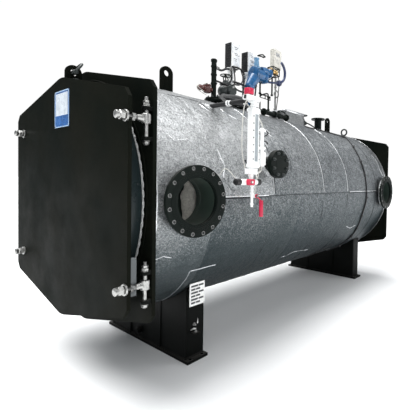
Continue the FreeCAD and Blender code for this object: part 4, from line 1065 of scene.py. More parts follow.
def make_stop_valve_looks():
    """The stop valve's cast body with its flanges, yoke and small wheel, and the column's clamps."""
    low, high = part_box("stop_valve")
    x = middle("stop_valve").x
    base = low.z
    body = Shape()
    centre = 0.5 * (low.z + high.z) - 0.0035
    body.lathe((x, 0.0, base), UP, [
        (0, 0.08), (0.003, 0.084), (0.02, 0.084), (0.023, 0.08), (0.024, 0.052), (0.04, 0.05),
        (0.056, 0.058),
        (0.078, 0.08), (0.1, 0.09), (0.122, 0.0915), (0.146, 0.087), (0.166, 0.072),
        (0.18, 0.056), (0.186, 0.052),
        (0.188, 0.066), (0.191, 0.069), (0.203, 0.069), (0.206, 0.066), (0.208, 0.04),
        (0.218, 0.036), (0.232, 0.034),
        (0.24, 0.03), (0.246, 0.018)], 48)
    body.studs((x, 0.0, base + 0.023), UP, 0.132, 8, 0.016, 0.004)
    body.studs((x, 0.0, base + 0.206), UP, 0.108, 6, 0.014, 0.004)
    body.bar((x, 0.0, centre), (x, -0.1, centre), 0.046, 32, 0.004)
    flange_stack(body, (x, -0.104, centre), NEAR, 0.062, 0.012, 6, 0.013)
    body.make("stop_valve_casting", CASTING, stands_for=("stop_valve",))
    yoke = Shape()
    for side in (-1, 1):
        yoke.tube([(x + side * 0.03, 0, base + 0.238), (x + side * 0.036, 0, base + 0.262),
            (x + side * 0.02, 0, base + 0.288), (x, 0, base + 0.292)], 0.0065, 10)
    yoke.thread((x, 0, base + 0.235), (x, 0, base + 0.312), 0.0075, 0.003, 14)
    wheel_z = base + 0.3
    yoke.ring((x, 0, wheel_z), UP, 0.06, 0.0065, 56, 8)
    for index in range(4):
        angle = TAU * index / 4 + 0.4
        yoke.bar((x, 0, wheel_z),
            (x + math.cos(angle) * 0.059, math.sin(angle) * 0.059, wheel_z), 0.0042, 8)
    yoke.hexagon((x, 0, wheel_z + 0.004), UP, 0.018, 0.01)
    yoke.make("stop_valve_yoke", FITTING_BLACK)

    column = Shape()
    cx = middle("stop_valve_column").x
    foot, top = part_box("stop_valve_column")[0].z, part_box("stop_valve_column")[1].z
    column.band((cx, 0, foot), UP, 0.027, 0.046, 0.014, 40)
    for z in (foot + 0.155, foot + 0.255, foot + 0.345):
        column.band((cx, 0, z), UP, 0.0275, 0.0335, 0.02, 32, 0.002)
    column.band((cx, 0, top - 0.03), UP, 0.0275, 0.0345, 0.026, 32, 0.003)
    column.block((cx - 0.01, -0.046, foot + 0.158), (cx + 0.01, -0.03, foot + 0.172), 0.001)
    column.studs((cx, -0.046, foot + 0.165), NEAR, 0.0, 1, 0.012)
    column.make("column_clamps", FITTING_BLACK)

    feed = Shape()
    fx, fz = FEED_X, middle("feed_valve").z
    for given in (
        ((cx - 0.03, 0, fz), FRONT, [(0, 0.02), (0.02, 0.02), (0.034, 0.026), (0.05, 0.034),
        (0.06, 0.034)], 32),
        ((fx, 0, fz - 0.045), UP, [(0, 0.03), (0.004, 0.04), (0.018, 0.042), (0.022, 0.036), (0.03, 0.038),
        (0.046, 0.042), (0.062, 0.038), (0.07, 0.034), (0.073, 0.04), (0.086, 0.041), (0.09, 0.032)], 36),
        ((fx - 0.022, 0, fz - 0.001), (-1, 0, -0.083), [(0, 0.026), (0.014, 0.027), (0.018, 0.034),
        (0.032, 0.034), (0.035, 0.024), (0.06, 0.022), (0.064, 0.031), (0.078, 0.031), (0.081, 0.026),
        (0.097, 0.02)], 32),
    ):
        feed.lathe(*given)
    feed.studs((fx, 0, fz + 0.045), UP, 0.056, 4, 0.011, 0.003)
    for y in (-1, 1):
        feed.bar((fx - 0.002, y * 0.03, fz), (fx - 0.002, y * 0.042, fz), 0.018, 20, 0.002)
    feed.make("feed_valve_casting", RED_BROWN, stands_for=("feed_valve",))
    wires = Shape()
    wires.tube([(fx - 0.125, -0.01, fz + 0.01), (fx - 0.15, -0.02, fz - 0.006),
        (fx - 0.152, -0.03, fz - 0.04), (fx - 0.11, -0.05, fz - 0.07),
        (fx - 0.06, -0.06, fz - 0.088)], 0.0042, 8)
    wires.tube([(fx - 0.115, 0.006, fz + 0.02), (fx - 0.14, -0.01, fz + 0.008),
        (fx - 0.13, -0.04, fz - 0.03), (fx - 0.085, -0.05, fz - 0.05)], 0.0035, 8)
    wires.bar((fx - 0.05, -0.014, fz + 0.034), (fx - 0.028, -0.03, fz + 0.052), 0.006, 10)
    wires.make("feed_valve_wires", PALE_WIRE)


def make_conduits():
    """Black conduits, impulse pipes and a bent guard rail between the ridge fittings."""
    pipes = Shape()
    for radius, sides, steps, route in (
        (0.012, 12, 6, ((0.69, -0.026, 2.76), (0.76, -0.04, 2.75), (0.84, -0.02, 2.79),
        (0.928, 0.03, 2.822), (0.985, 0.07, 2.845))),
        (0.011, 12, 6, ((0.99, 0.03, 2.87), (1.06, 0.0, 2.866), (1.124, -0.02, 2.836),
        (1.142, -0.02, 2.76), (1.14, -0.01, 2.64), (1.135, 0.0, 2.41))),
        (0.013, 12, 6, ((0.95, -0.03, 2.674), (1.03, -0.06, 2.664), (1.094, -0.06, 2.661),
        (1.18, -0.05, 2.658), (1.232, -0.04, 2.657))),
        (0.01, 12, 6, ((0.905, 0.0, 2.64), (0.935, -0.02, 2.7), (0.93, -0.02, 2.79), (0.95, 0.01, 2.85),
        (1.0, 0.05, 2.862))),
        (0.009, 12, 6, ((0.928, -0.06, 2.634), (1.0, -0.08, 2.64), (1.06, -0.07, 2.69), (1.1, -0.04, 2.76),
        (1.11, 0.0, 2.85))),
        (0.01, 12, 6, ((0.7, -0.03, 2.62), (0.78, -0.07, 2.6), (0.86, -0.105, 2.58), (0.98, -0.11, 2.56),
        (1.08, -0.12, 2.56))),
        (0.008, 12, 6, ((1.0, 0.1, 2.42), (0.98, 0.05, 2.5), (0.985, 0.01, 2.6), (1.0, -0.01, 2.7),
        (0.995, 0.01, 2.86))),
        (0.0095, 12, 6, ((1.32, 0.02, 2.865), (1.34, -0.01, 2.8), (1.33, -0.04, 2.7), (1.3, -0.05, 2.56),
        (1.26, -0.04, 2.41))),
        (0.0065, 10, 6, ((1.82, 0.06, 3.082), (1.79, 0.03, 3.02), (1.7, -0.02, 2.93), (1.56, -0.04, 2.84),
        (1.4, -0.02, 2.78), (1.34, -0.01, 2.7))),
        (0.006, 10, 6, ((1.86, 0.06, 3.082), (1.88, 0.03, 2.9), (1.872, 0.04, 2.7), (1.866, 0.06, 2.52))),
        (0.0195, 14, 2, ((0.178, -1.03, 2.182), (0.178, -0.9, 2.182), (0.178, -0.7, 2.182),
        (0.178, -0.56, 2.182))),
        (0.021, 14, 6, ((0.19, -0.98, 2.186), (0.25, -0.8, 2.245), (0.36, -0.56, 2.31), (0.47, -0.4, 2.36),
        (0.62, -0.19, 2.4))),
        (0.018, 14, 6, ((0.3, -0.64, 2.235), (0.42, -0.44, 2.325), (0.58, -0.3, 2.372), (0.74, -0.24, 2.4),
        (0.9, -0.215, 2.412))),
        (0.015, 12, 6, ((0.47, -0.4, 2.3), (0.64, -0.33, 2.33), (0.86, -0.3, 2.345), (1.07, -0.3, 2.35),
        (1.15, -0.325, 2.335))),
    ):
        pipes.tube(route, radius, sides, steps)
    pipes.make("ridge_conduits", CABLE)
    unions = Shape()
    for place, axis in (((0.694, -0.034, 2.76), (1, -0.2, 0)), ((1.142, -0.02, 2.76), UP),
            ((1.14, -0.01, 2.64), UP),
            ((1.094, -0.06, 2.661), REAR), ((0.93, -0.02, 2.79), UP), ((1.33, -0.04, 2.7), (0, 0.1, 1)),
            ((0.86, -0.105, 2.58), (1, -0.1, 0)), ((0.985, 0.01, 2.6), UP)):
        unions.hexagon(place, axis, 0.036, 0.02)
        unions.hexagon(Vector(place) + Vector(axis).normalized() * 0.024, axis, 0.03, 0.014, 0.4)
    unions.make("conduit_unions", STEEL)
    bracket = Shape()
    bracket.block((1.285, -0.15, 2.585), (1.492, -0.142, 2.6), 0.001)
    bracket.block((1.285, -0.15, 2.548), (1.492, -0.142, 2.556), 0.001)
    for x in (1.29, 1.385, 1.48):
        bracket.block((x, -0.15, 2.548), (x + 0.01, -0.142, 2.6), 0.001)
    bracket.bar((1.295, -0.146, 2.405), (1.295, -0.146, 2.595), 0.008, 12)
    bracket.bar((1.236, -0.33, 2.356), (1.236, -0.33, 2.525), 0.0105, 14)
    bracket.hexagon((1.236, -0.33, 2.352), UP, 0.034, 0.022)
    bracket.hexagon((1.236, -0.33, 2.5), UP, 0.03, 0.018)
    bracket.tube([(1.236, -0.33, 2.525), (1.242, -0.31, 2.56), (1.28, -0.22, 2.575),
        (1.3, -0.15, 2.572)], 0.0085, 12)
    for x, low_z, high_z in ((1.55, 2.625, 2.874), (1.32, 2.6, 2.745)):
        bracket.bar((x, SAFETY_Y, low_z), (x, SAFETY_Y, high_z), 0.0105, 14)
        bracket.hexagon((x, SAFETY_Y, low_z), UP, 0.032, 0.018)
    bracket.make("ridge_brackets", FITTING_BLACK)


def make_probe_heads():
    """Level probe heads: a black finned housing behind a white cover, with glands and blank dashes."""
    housing = Shape()
    cover = Shape()
    dashes = Shape()
    glands = Shape()
    for x0, x1, y0, y1, z0, z1 in PROBE_HEADS:
        split = y0 + 0.03
        housing.block((x0, split, z0), (x1, y1, z1), 0.004)
        for index in range(9):
            z = z0 + (z1 - z0) * (index + 0.8) / 9.8
            housing.block((x0 - 0.0035, split + 0.012, z), (x0 + 0.004, y1 - 0.008, z + 0.008), 0.0008)
        cover.block((x0 + 0.002, y0, z0 + 0.003), (x1 - 0.001, split, z1 - 0.003), 0.007)
        for place in ((x0 + 0.014, z0 + 0.016), (x1 - 0.014, z0 + 0.016), (x0 + 0.014, z1 - 0.016),
                (x1 - 0.014, z1 - 0.016)):
            glands.lathe((place[0], y0 - 0.0006, place[1]), NEAR,
                [(-0.002, 0.0042), (0.0012, 0.004), (0.002, 0.003), (0.0021, 0.0004)], 12)
        for index, (share, width) in enumerate(((0.8, 0.5), (0.73, 0.3), (0.56, 0.44), (0.5, 0.58),
                (0.34, 0.36), (0.27, 0.22))):
            z = z0 + (z1 - z0) * share
            x = x0 + 0.026 + 0.01 * (index % 2)
            dashes.block((x, y0 - 0.001, z), (x + (x1 - x0) * width, y0 + 0.001, z + 0.006), 0.0003)
        centre = ((x0 + x1) / 2 - 0.015, (y0 + y1) / 2)
        glands.hexagon((centre[0] - 0.02, centre[1], z0 - 0.014), UP, 0.058, 0.015)
        glands.bar((x1 - 0.025, centre[1], z0 - 0.026), (x1 - 0.025, centre[1], z0 + 0.002), 0.011, 16)
        glands.hexagon((x1 - 0.025, centre[1], z0 - 0.022), UP, 0.028, 0.012)
    housing.make("probe_housings", BLACK_PLASTIC, stands_for=("level_probe_boxes",))
    cover.make("probe_covers", OFF_WHITE)
    dashes.make("probe_marks", DARK_MARK)
    glands.make("probe_glands", STEEL)
    rings = Shape()
    for probe in (PROBE_A, PROBE_B):
        x, y, low = probe
        for z, radius in ((low - 0.012, 0.05), (low - 0.1, 0.036), (low - 0.118, 0.036)):
            rings.band((x, y, z), UP, radius * 0.7, radius, 0.01, 40, 0.002)
        rings.hexagon((x, y, low - 0.165), UP, 0.07, 0.03)
    rings.make("probe_neck_rings", WHITE)


def make_safety_valve_looks():
    """The safety valve as castings: inlet flange, elbow, drum, bonnet, cap, fork and brass outlet."""
    low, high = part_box("safety_valve_body")
    y = SAFETY_Y
    x0 = SAFETY_INLET_X
    base = low.z
    blue = Shape()
    blue.lathe((x0, y, base), UP,
        [(0, 0.056), (0.003, 0.06), (0.017, 0.06), (0.02, 0.056), (0.022, 0.032), (0.06, 0.03),
        (0.15, 0.03), (0.2, 0.034), (0.226, 0.052), (0.262, 0.054), (0.27, 0.048)], 40)
    blue.studs((x0, y, base + 0.019), UP, 0.092, 4, 0.015, 0.004)
    blue.lathe((1.11, y, 2.63), (0.105, 0.0, 0.14), [(0, 0.036), (0.012, 0.045), (0.03, 0.049),
        (0.09, 0.06), (0.14, 0.07), (0.175, 0.073), (0.185, 0.066)], 44)
    blue.lathe((BARREL_FRONT, y, BARREL_Z), REAR, [(0, 0.05), (0.004, 0.078), (0.008, 0.0855),
        (0.026, 0.086), (0.03, 0.08), (0.034, 0.072), (0.07, 0.074),
        (0.12, 0.074), (0.168, 0.072), (0.174, 0.08), (0.178, 0.0855), (0.198, 0.086), (0.202, 0.08),
        (0.215, 0.05)], 56)
    blue.studs((BARREL_FRONT + 0.03, y, BARREL_Z), REAR, 0.156, 8, 0.013, 0.004)
    blue.studs((BARREL_FRONT + 0.172, y, BARREL_Z), FRONT, 0.156, 8, 0.013, 0.004)
    blue.studs((BARREL_FRONT + 0.2005, y, BARREL_Z), REAR, 0.15, 8, 0.013, 0.004)
    blue.lathe((1.33, y, NECK_Z), REAR, [(0, 0.044), (0.03, 0.05), (0.07, 0.056), (0.11, 0.05),
        (0.14, 0.048), (0.146, 0.0595), (0.162, 0.06), (0.168, 0.054)], 44)
    for rib in range(4):
        angle = TAU * (rib + 0.5) / 4
        offset = Vector((0, math.cos(angle) * 0.066, math.sin(angle) * 0.066))
        blue.bar(Vector((BARREL_FRONT + 0.034, y, BARREL_Z)) + offset,
            Vector((BARREL_FRONT + 0.17, y, BARREL_Z)) + offset, 0.011, 10)
    cheeks_low, cheeks_high = BARREL_FRONT + 0.195, EASING_PIN[0] + 0.014
    for side in (-1, 1):
        inner, outer = sorted((y + side * 0.022, y + side * 0.034))
        blue.hull([(x, yy, z) for yy in (inner, outer) for x,
            z in ((cheeks_low, EASING_PIN[2] - 0.016), (cheeks_low, EASING_PIN[2] + 0.024),
            (cheeks_high - 0.006, EASING_PIN[2] + 0.016), (cheeks_high, EASING_PIN[2] + 0.008),
            (cheeks_high, EASING_PIN[2] - 0.008), (cheeks_high - 0.006, EASING_PIN[2] - 0.016))])
    blue.make("safety_valve_castings", BLUE, stands_for=("safety_valve_body",))
    pale = Shape()
    top = high.z
    pale.lathe((1.25, y, 2.885), UP, [(0, 0.04), (0.01, 0.05), (0.02, 0.052), (0.026, 0.046),
        (0.03, 0.034), (0.08, 0.03), (0.116, 0.026), (0.12, 0.033), (0.13, 0.033), (0.134, 0.028)], 40)
    pale.studs((1.25, y, 2.907), UP, 0.084, 6, 0.011, 0.003)
    for side in (-1, 1):
        pale.block((1.246 + side * 0.027, y - 0.008, 2.91), (1.254 + side * 0.027, y + 0.008, 3.01), 0.002)
    pale.make("safety_valve_bonnet", PALE_BLUE)
    white = Shape()
    white.lathe((1.236, y, top - 0.028), UP, [(0, 0.022), (0.003, 0.03), (0.022, 0.031), (0.04, 0.028),
        (0.052, 0.018), (0.056, 0.004)], 32)
    white.make("safety_valve_cap", WHITE)
    black = Shape()
    black.tube([(1.236, y - 0.034, top - 0.006), (1.29, y - 0.036, top + 0.02),
        (1.34, y - 0.03, top + 0.032), (1.384, y - 0.01, top + 0.028)], 0.0075, 10)
    black.tube([(1.236, y + 0.034, top - 0.006), (1.29, y + 0.036, top + 0.02),
        (1.34, y + 0.03, top + 0.032), (1.384, y + 0.01, top + 0.028)], 0.0075, 10)
    black.bar((1.384, y - 0.02, top + 0.028), (1.384, y + 0.02, top + 0.028), 0.01, 14)
    black.bar((1.236, y - 0.04, top - 0.006), (1.236, y + 0.04, top - 0.006), 0.008, 14)
    black.bar(Vector(EASING_PIN) + Vector((0, -0.04, 0)),
        Vector(EASING_PIN) + Vector((0, 0.04, 0)), 0.0059, 16)
    for side in (-1, 1):
        black.hexagon(Vector(EASING_PIN) + Vector((0, side * 0.0345, 0)), (0, side, 0), 0.018, 0.009)
    yoke_x = (1.512, 1.642)
    for side in (-1, 1):
        for z in (2.884, 2.982):
            black.block((yoke_x[0], y + side * 0.044 - 0.005, z),
                (yoke_x[1], y + side * 0.044 + 0.005, z + 0.01), 0.001)
    for x in yoke_x:
        for side in (-1, 1):
            black.block((x - 0.005, y + side * 0.044 - 0.005, 2.884),
                (x + 0.005, y + side * 0.044 + 0.005, 2.992), 0.001)
        for z in (2.884, 2.982):
            black.block((x - 0.005, y - 0.044, z), (x + 0.005, y + 0.044, z + 0.01), 0.001)
    black.make("safety_valve_rods", FITTING_BLACK)
    outlet_z = middle("safety_valve_outlet").z
    brass = Shape()
    brass.hexagon((NECK_END, y, outlet_z), REAR, 0.074, 0.022, 0.2)
    brass.lathe((NECK_END + 0.02, y, outlet_z), REAR, [(0, 0.03), (0.014, 0.03), (0.018, 0.036),
        (0.028, 0.036), (0.032, 0.028), (0.06, 0.026), (0.062, 0.03)], 32)
    brass.hexagon((NECK_END + 0.08, y, outlet_z), REAR, 0.068, 0.026, 0.7)
    brass.lathe((NECK_END + 0.106, y, outlet_z), REAR, [(0, 0.028), (0.016, 0.027), (0.02, 0.031),
        (0.0285, 0.03)], 32)
    brass.bar((NECK_END + 0.05, y, outlet_z + 0.024), (NECK_END + 0.05, y, outlet_z + 0.045), 0.01, 16)
    brass.make("safety_valve_brass", BRASS, stands_for=("safety_valve_outlet",))


def make_switch_looks():
    """The pressure switch: a ribbed beige case on a thin post with a siphon loop."""
    low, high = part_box("pressure_switch")
    base = high.z - 0.27
    x = (low.x + high.x) / 2
    y = (low.y + high.y) / 2
    case = Shape()
    case.block((low.x, low.y + 0.018, base), (high.x, high.y, high.z), 0.005)
    case.block((low.x + 0.004, low.y, base + 0.004), (high.x - 0.004, low.y + 0.019, high.z - 0.004), 0.006)
    for index in range(12):
        z = base + 0.022 + index * 0.019
        case.block((low.x - 0.0016, low.y + 0.026, z), (low.x + 0.004, high.y - 0.01, z + 0.01), 0.0006)
    case.make("switch_case", BEIGE, stands_for=("pressure_switch",))
    marks = Shape()
    marks.block((low.x + 0.04, low.y - 0.001, high.z - 0.1),
        (low.x + 0.12, low.y + 0.002, high.z - 0.05), 0.0004)
    for share in (0.45, 0.37, 0.29):
        marks.block((low.x + 0.034, low.y - 0.001, base + 0.27 * share),
            (low.x + 0.11 + 0.02 * share, low.y + 0.002, base + 0.27 * share + 0.006), 0.0003)
    marks.make("switch_marks", PLATE)
    post = Shape()
    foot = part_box("lagged_hump")[1].z
    post.bar((x, y, foot), (x, y, base - 0.06), 0.0125, 16)
    post.hexagon((x, y, base - 0.06), UP, 0.04, 0.028)
    post.bar((x, y, base - 0.034), (x, y, base + 0.002), 0.016, 20)
    post.ring((x, y - 0.02, foot + 0.24), FAR, 0.045, 0.0085, 48, 10)
    post.hexagon((x, y, foot + 0.02), UP, 0.038, 0.024)
    post.hexagon((x, y, foot + 0.33), UP, 0.034, 0.018)
    post.bar((high.x - 0.03, y, base - 0.026), (high.x - 0.03, y, base + 0.002), 0.011, 16)
    post.make("switch_post", STEEL)


def make_vent_looks():
    """The vent valve's turned body, gland, flanged ends and spindle thread."""
    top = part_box("vent_valve")[1].z
    x = middle("vent_valve").x
    line = VENT_BODY_Z
    body = Shape()
    body.bar((x, 0, AXIS_Z + 0.9), (x, 0, line), 0.0215, 24)
    for side in (-1, 1):
        body.lathe((x + side * 0.055, 0, line), (-side, 0, 0),
            [(0, 0.026), (0.002, 0.0295), (0.012, 0.03), (0.014, 0.022), (0.03, 0.021), (0.05, 0.027),
            (0.056, 0.028)], 28)
    body.lathe((x, 0, line + 0.012), UP, [(0, 0.026), (0.01, 0.024), (0.014, 0.028), (0.022, 0.028),
        (0.024, 0.018), (0.042, 0.016), (0.048, 0.012)], 28)
    body.hexagon((x, 0, line + 0.038), UP, 0.03, 0.012)
    body.thread((x, 0, line + 0.05), (x, 0, top), 0.0078, 0.003, 14)
    body.hexagon((x, 0, top - 0.006), UP, 0.015, 0.006)
    body.make("vent_valve_casting", CASTING, stands_for=("vent_valve",))
    stem = Shape()
    stem.tube([(x + 0.05, 0, line), (x + 0.1, -0.01, line + 0.004), (x + 0.13, -0.05, line - 0.02),
        (x + 0.14, -0.11, line - 0.06)], 0.01, 12)
    stem.make("vent_tail_pipe", FITTING_BLACK)


def make_drain_looks():
    """Bolts and a small valve on the drain pipe that lies beside the ridge."""
    low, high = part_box("drain_pipe")
    y, z = middle("drain_pipe").y, DRAIN_Z
    looks = Shape()
    looks.studs((low.x + 0.016, y, z), REAR, 0.062, 4, 0.011, 0.002)
    looks.studs((high.x - 0.016, y, z), FRONT, 0.062, 4, 0.011, 0.002)
    looks.studs((low.x + 0.206, y, z), REAR, 0.062, 4, 0.011, 0.002)
    looks.lathe((low.x + 0.24, y, z), REAR, [(0, 0.0265), (0.01, 0.034), (0.04, 0.0385), (0.07, 0.034),
        (0.08, 0.0265)], 32)
    looks.bar((low.x + 0.28, y, z), (low.x + 0.28, y, z + 0.058), 0.014, 20)
    looks.hexagon((low.x + 0.28, y, z + 0.04), UP, 0.034, 0.014)
    looks.tube([(low.x + 0.28, y, z + 0.06), (low.x + 0.32, y - 0.004, z + 0.066),
        (low.x + 0.385, y - 0.01, z + 0.058), (low.x + 0.4, y - 0.011, z + 0.04)], 0.0065, 10)
    looks.tube([(low.x + 0.004, y, z), (low.x - 0.04, y + 0.006, z + 0.014),
        (low.x - 0.08, y + 0.06, z + 0.045), (low.x - 0.08, y + 0.14, z + 0.09)], 0.012, 12)
    looks.make("drain_valve", FITTING_BLACK)


def make_hump_skin():
    """Crumpled foil over the hump, with taped edges that turn out on to the jacket."""
    low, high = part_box("lagged_hump")
    skin = Shape()

    def sheet(corner, u, v, normal, steps_u, steps_v, seed):
        points = []
        for row in range(steps_v + 1):
            for column in range(steps_u + 1):
                place = Vector(corner) + Vector(u) * (column / steps_u) + Vector(v) * (row / steps_v)
                rim = min(column, steps_u - column, row, steps_v - row)
                lumps = noise.noise(place * 12 + Vector((seed, 0, 0))) * 0.006
                lumps += noise.noise(place * 40) * 0.0025
                points.append(place + Vector(normal) * (0.0035 + (lumps if rim else lumps * 0.3)))
        skin.add(points, quads(steps_v, steps_u))

    def drop(y):
        return AXIS_Z + math.sqrt(JACKET_R ** 2 - y * y)
    length, width = high.x - low.x, high.y - low.y
    edge = 0.004
    sheet((low.x - edge, low.y - edge, high.z), (length + 2 * edge, 0, 0),
        (0, width + 2 * edge, 0), UP, 34, 26, 1.0)
    for y, side in ((low.y, -1), (high.y, 1)):
        sheet((low.x - edge, y, drop(y) + 0.002), (length + 2 * edge, 0, 0),
            (0, 0, high.z - drop(y) + 0.001), (0, side, 0), 34, 16, 2.0 + side)
    for x, side in ((low.x, -1), (high.x, 1)):
        sheet((x, low.y - edge, drop(low.y)), (0, width + 2 * edge, 0),
            (0, 0, high.z - drop(low.y) + 0.001), (side, 0, 0), 26, 16, 5.0 + side)
    skin.make("hump_foil", FOIL_A, crisp=50, stands_for=("lagged_hump",))
    tapes = Shape()
    inset = 0.022
    for y in (low.y - 0.0075, high.y + 0.0075):
        tapes.block((low.x - 0.006, min(y, y + 0.002), high.z - inset),
            (high.x + 0.006, max(y, y + 0.002), high.z + 0.006), 0.001)
    for x in (low.x - 0.0075, high.x + 0.0055):
        tapes.block((x, low.y, high.z - inset), (x + 0.002, high.y, high.z + 0.006), 0.001)
    degrees = math.degrees(math.asin(-low.y / JACKET_R))
    for side in (-1, 1):
        tape_strip(tapes, (low.x - 0.02, side * (degrees + 1.3)), (high.x + 0.02, side * (degrees + 1.3)),
            0.04, 0.0085, 0.01, side)
        tape_strip(tapes, (low.x - 0.016, -degrees), (low.x - 0.016, degrees), 0.036,
            0.0085, 0.008, 8.0 + side)
    tape_strip(tapes, (high.x + 0.016, -degrees), (high.x + 0.016, degrees), 0.036, 0.0085, 0.008, 12.0)
    tapes.make("hump_tapes", TAPE, crisp=50)


# ---------------------------------------------------------------- level gauge
def make_gauge_looks():
    """The gauge's long body with its window, end blocks, plugs, nuts, standpipe and fine pipes."""
    low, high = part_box("level_gauge")
    x, y = GAUGE.x, GAUGE.y
    face = low.y
    trims = Shape()
    for z in (low.z + 0.006, high.z - 0.03):
        trims.block((low.x - 0.003, low.y - 0.003, z), (high.x + 0.003, high.y + 0.003, z + 0.024), 0.003)
    for side in (-1, 1):
        trims.block((x + side * 0.0235 - 0.004, face - 0.006, low.z + 0.05),
            (x + side * 0.0235 + 0.004, face + 0.004, high.z - 0.05), 0.0015)
    trims.make("gauge_end_bands", WHITE)
    window = Shape()
    window.block((x - 0.0185, face - 0.003, low.z + 0.052),
        (x + 0.0185, face + 0.004, high.z - 0.052), 0.001)
    window.make("gauge_window", GLASS_STRIP)
    bolts = Shape()
    for index in range(7):
        z = low.z + 0.07 + (high.z - low.z - 0.14) * index / 6
        for side in (-1, 1):
            bolts.hexagon((x + side * 0.0335, face - 0.0002, z), NEAR, 0.011, 0.0065, index * 0.3)
    bolts.make("gauge_bolts", STEEL)

    cocks = Shape()
    cocks.lathe((x, y, high.z), UP, [(0, 0.02), (0.01, 0.02), (0.012, 0.027), (0.026, 0.027),
        (0.028, 0.021), (0.05, 0.02)], 28)
    cocks.hexagon((x, y, high.z + 0.03), UP, 0.05, 0.024)
    cocks.hexagon((x + 0.046, y, TOP_COCK_Z - 0.008), REAR, 0.036, 0.016)
    cocks.hexagon((x, y + 0.034, TOP_BRANCH_Z), FAR, 0.042, 0.02)
    cocks.hexagon((x, y + 0.26, TOP_BRANCH_Z), FAR, 0.04, 0.024)
    cocks.bar((x, y + 0.29, TOP_BRANCH_Z), (x, y + 0.306, TOP_BRANCH_Z), 0.026, 24, 0.002)
    cocks.hexagon((KNOB_X, y, TOP_COCK_Z + 0.012), UP, 0.028, 0.003)
    z = LOW_BRANCH_Z
    cocks.hexagon((x - 0.02, y, low.z - 0.068), UP, 0.044, 0.016)
    cocks.hexagon((LOW_BRANCH_X, y + 0.03, z), FAR, 0.044, 0.02)
    cocks.hexagon((LOW_BRANCH_X, y + 0.088, z), FAR, 0.044, 0.018)
    for level, radius in ((z - 0.03, 0.017), (z - 0.06, 0.015)):
        cocks.bar((DRAIN_X, y, level - 0.01), (DRAIN_X, y, level), radius, 20, 0.002)
    cocks.hexagon((DRAIN_X, y, z - 0.1), UP, 0.03, 0.018)
    cocks.hexagon((DRAIN_X, y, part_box("gauge_bottom_cock")[0].z + 0.016), UP, 0.028, 0.016)
    cocks.make("gauge_unions", WHITE)
    plugs = Shape()
    left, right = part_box("gauge_bottom_cock")[0].x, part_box("gauge_bottom_cock")[1].x
    plugs.bar((left - 0.0035, y, z), (left + 0.044, y, z), 0.0262, 28, 0.003)
    plugs.hexagon((left - 0.0125, y, z), REAR, 0.034, 0.01)
    plugs.bar((right - 0.04, y, z), (right + 0.003, y, z), 0.0262, 28, 0.003)
    plugs.hexagon((right + 0.002, y, z), REAR, 0.034, 0.01)
    plugs.bar((x - 0.1, y, TOP_COCK_Z - 0.02), (x - 0.094, y, TOP_COCK_Z + 0.004), 0.012, 16)
    plugs.make("gauge_plugs", CABLE)
    nuts = Shape()
    for place, axis in (((KNOB_X, y, TOP_COCK_Z + 0.066), UP), ((HANDLE_X, y - 0.0585, z), NEAR),
            ((DRAIN_PIVOT[0], y - 0.029, DRAIN_PIVOT[1]), NEAR)):
        nuts.hexagon(place, axis, 0.0185, 0.006)
    nuts.make("gauge_spindle_nuts", STEEL)

    stand_low, stand_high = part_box("gauge_standpipe")
    sx, sy = STANDPIPE
    extras = Shape()
    for z in (stand_low.z + 0.004, stand_high.z - 0.026):
        extras.hexagon((sx, sy, z), UP, 0.038, 0.022)
    for z in STAND_LINKS:
        extras.hexagon((sx - 0.052, sy, z), REAR, 0.026, 0.012)
        extras.bar((sx, sy - 0.016, z), (sx, sy - 0.034, z), 0.0085, 14)
        extras.hexagon((sx, sy - 0.026, z), NEAR, 0.021, 0.01)
    extras.block((sx - 0.03, sy - 0.022, stand_low.z + 0.01),
        (sx + 0.03, sy + 0.022, stand_low.z + 0.12), 0.005)
    extras.make("standpipe_fittings", WHITE)
    fine = Shape()
    fine.tube([(sx, sy, stand_high.z - 0.004), (sx + 0.004, sy + 0.01, stand_high.z + 0.04),
        (sx - 0.02, sy + 0.06, stand_high.z + 0.12),
        (x + 0.03, y + 0.12, TOP_BRANCH_Z - 0.006)], 0.0055, 10)
    fine.tube([(sx, sy, stand_low.z + 0.004), (sx - 0.002, sy + 0.006, stand_low.z - 0.04),
        (sx - 0.04, sy + 0.02, (stand_low.z + LOW_BRANCH_Z) / 2),
        (right - 0.02, y + 0.004, LOW_BRANCH_Z + 0.026)], 0.0055, 10)
    fine.tube([(x - 0.062, y + 0.018, TOP_COCK_Z - 0.022), (x - 0.075, y + 0.04, TOP_COCK_Z - 0.12),
        (x - 0.07, y + 0.055, low.z + 0.16), (x - 0.058, y + 0.03, low.z - 0.006)], 0.004, 8)
    fine.tube([(left + 0.012, y + 0.004, LOW_BRANCH_Z + 0.02), (left - 0.05, y + 0.06, LOW_BRANCH_Z + 0.1),
        (left - 0.06, y + 0.12, LOW_BRANCH_Z + 0.02), (left + 0.01, y + 0.15, LOW_BRANCH_Z - 0.08),
        (DRAIN_X - 0.03, y + 0.11, LOW_BRANCH_Z - 0.12)], 0.0036, 8)
    fine.tube([(DRAIN_X + 0.01, y, LOW_BRANCH_Z - 0.11), (DRAIN_X + 0.06, y + 0.03, LOW_BRANCH_Z - 0.09),
        (DRAIN_X + 0.12, y + 0.06, LOW_BRANCH_Z - 0.02), (sx + 0.05, sy + 0.05, stand_low.z + 0.06),
        (sx + 0.02, sy + 0.012, stand_low.z + 0.09)], 0.0036, 8)
    fine.make("gauge_fine_pipes", PALE_WIRE)
    loops = Shape()
    loops.tube([(sx + 0.01, sy - 0.002, 1.952), (sx + 0.06, sy, 1.946), (sx + 0.074, sy, 1.93),
        (sx + 0.04, sy + 0.01, 1.905), (sx - 0.01, sy + 0.012, 1.87), (sx + 0.06, sy + 0.006, 1.862),
        (sx + 0.075, sy, 1.845)], 0.005, 8)
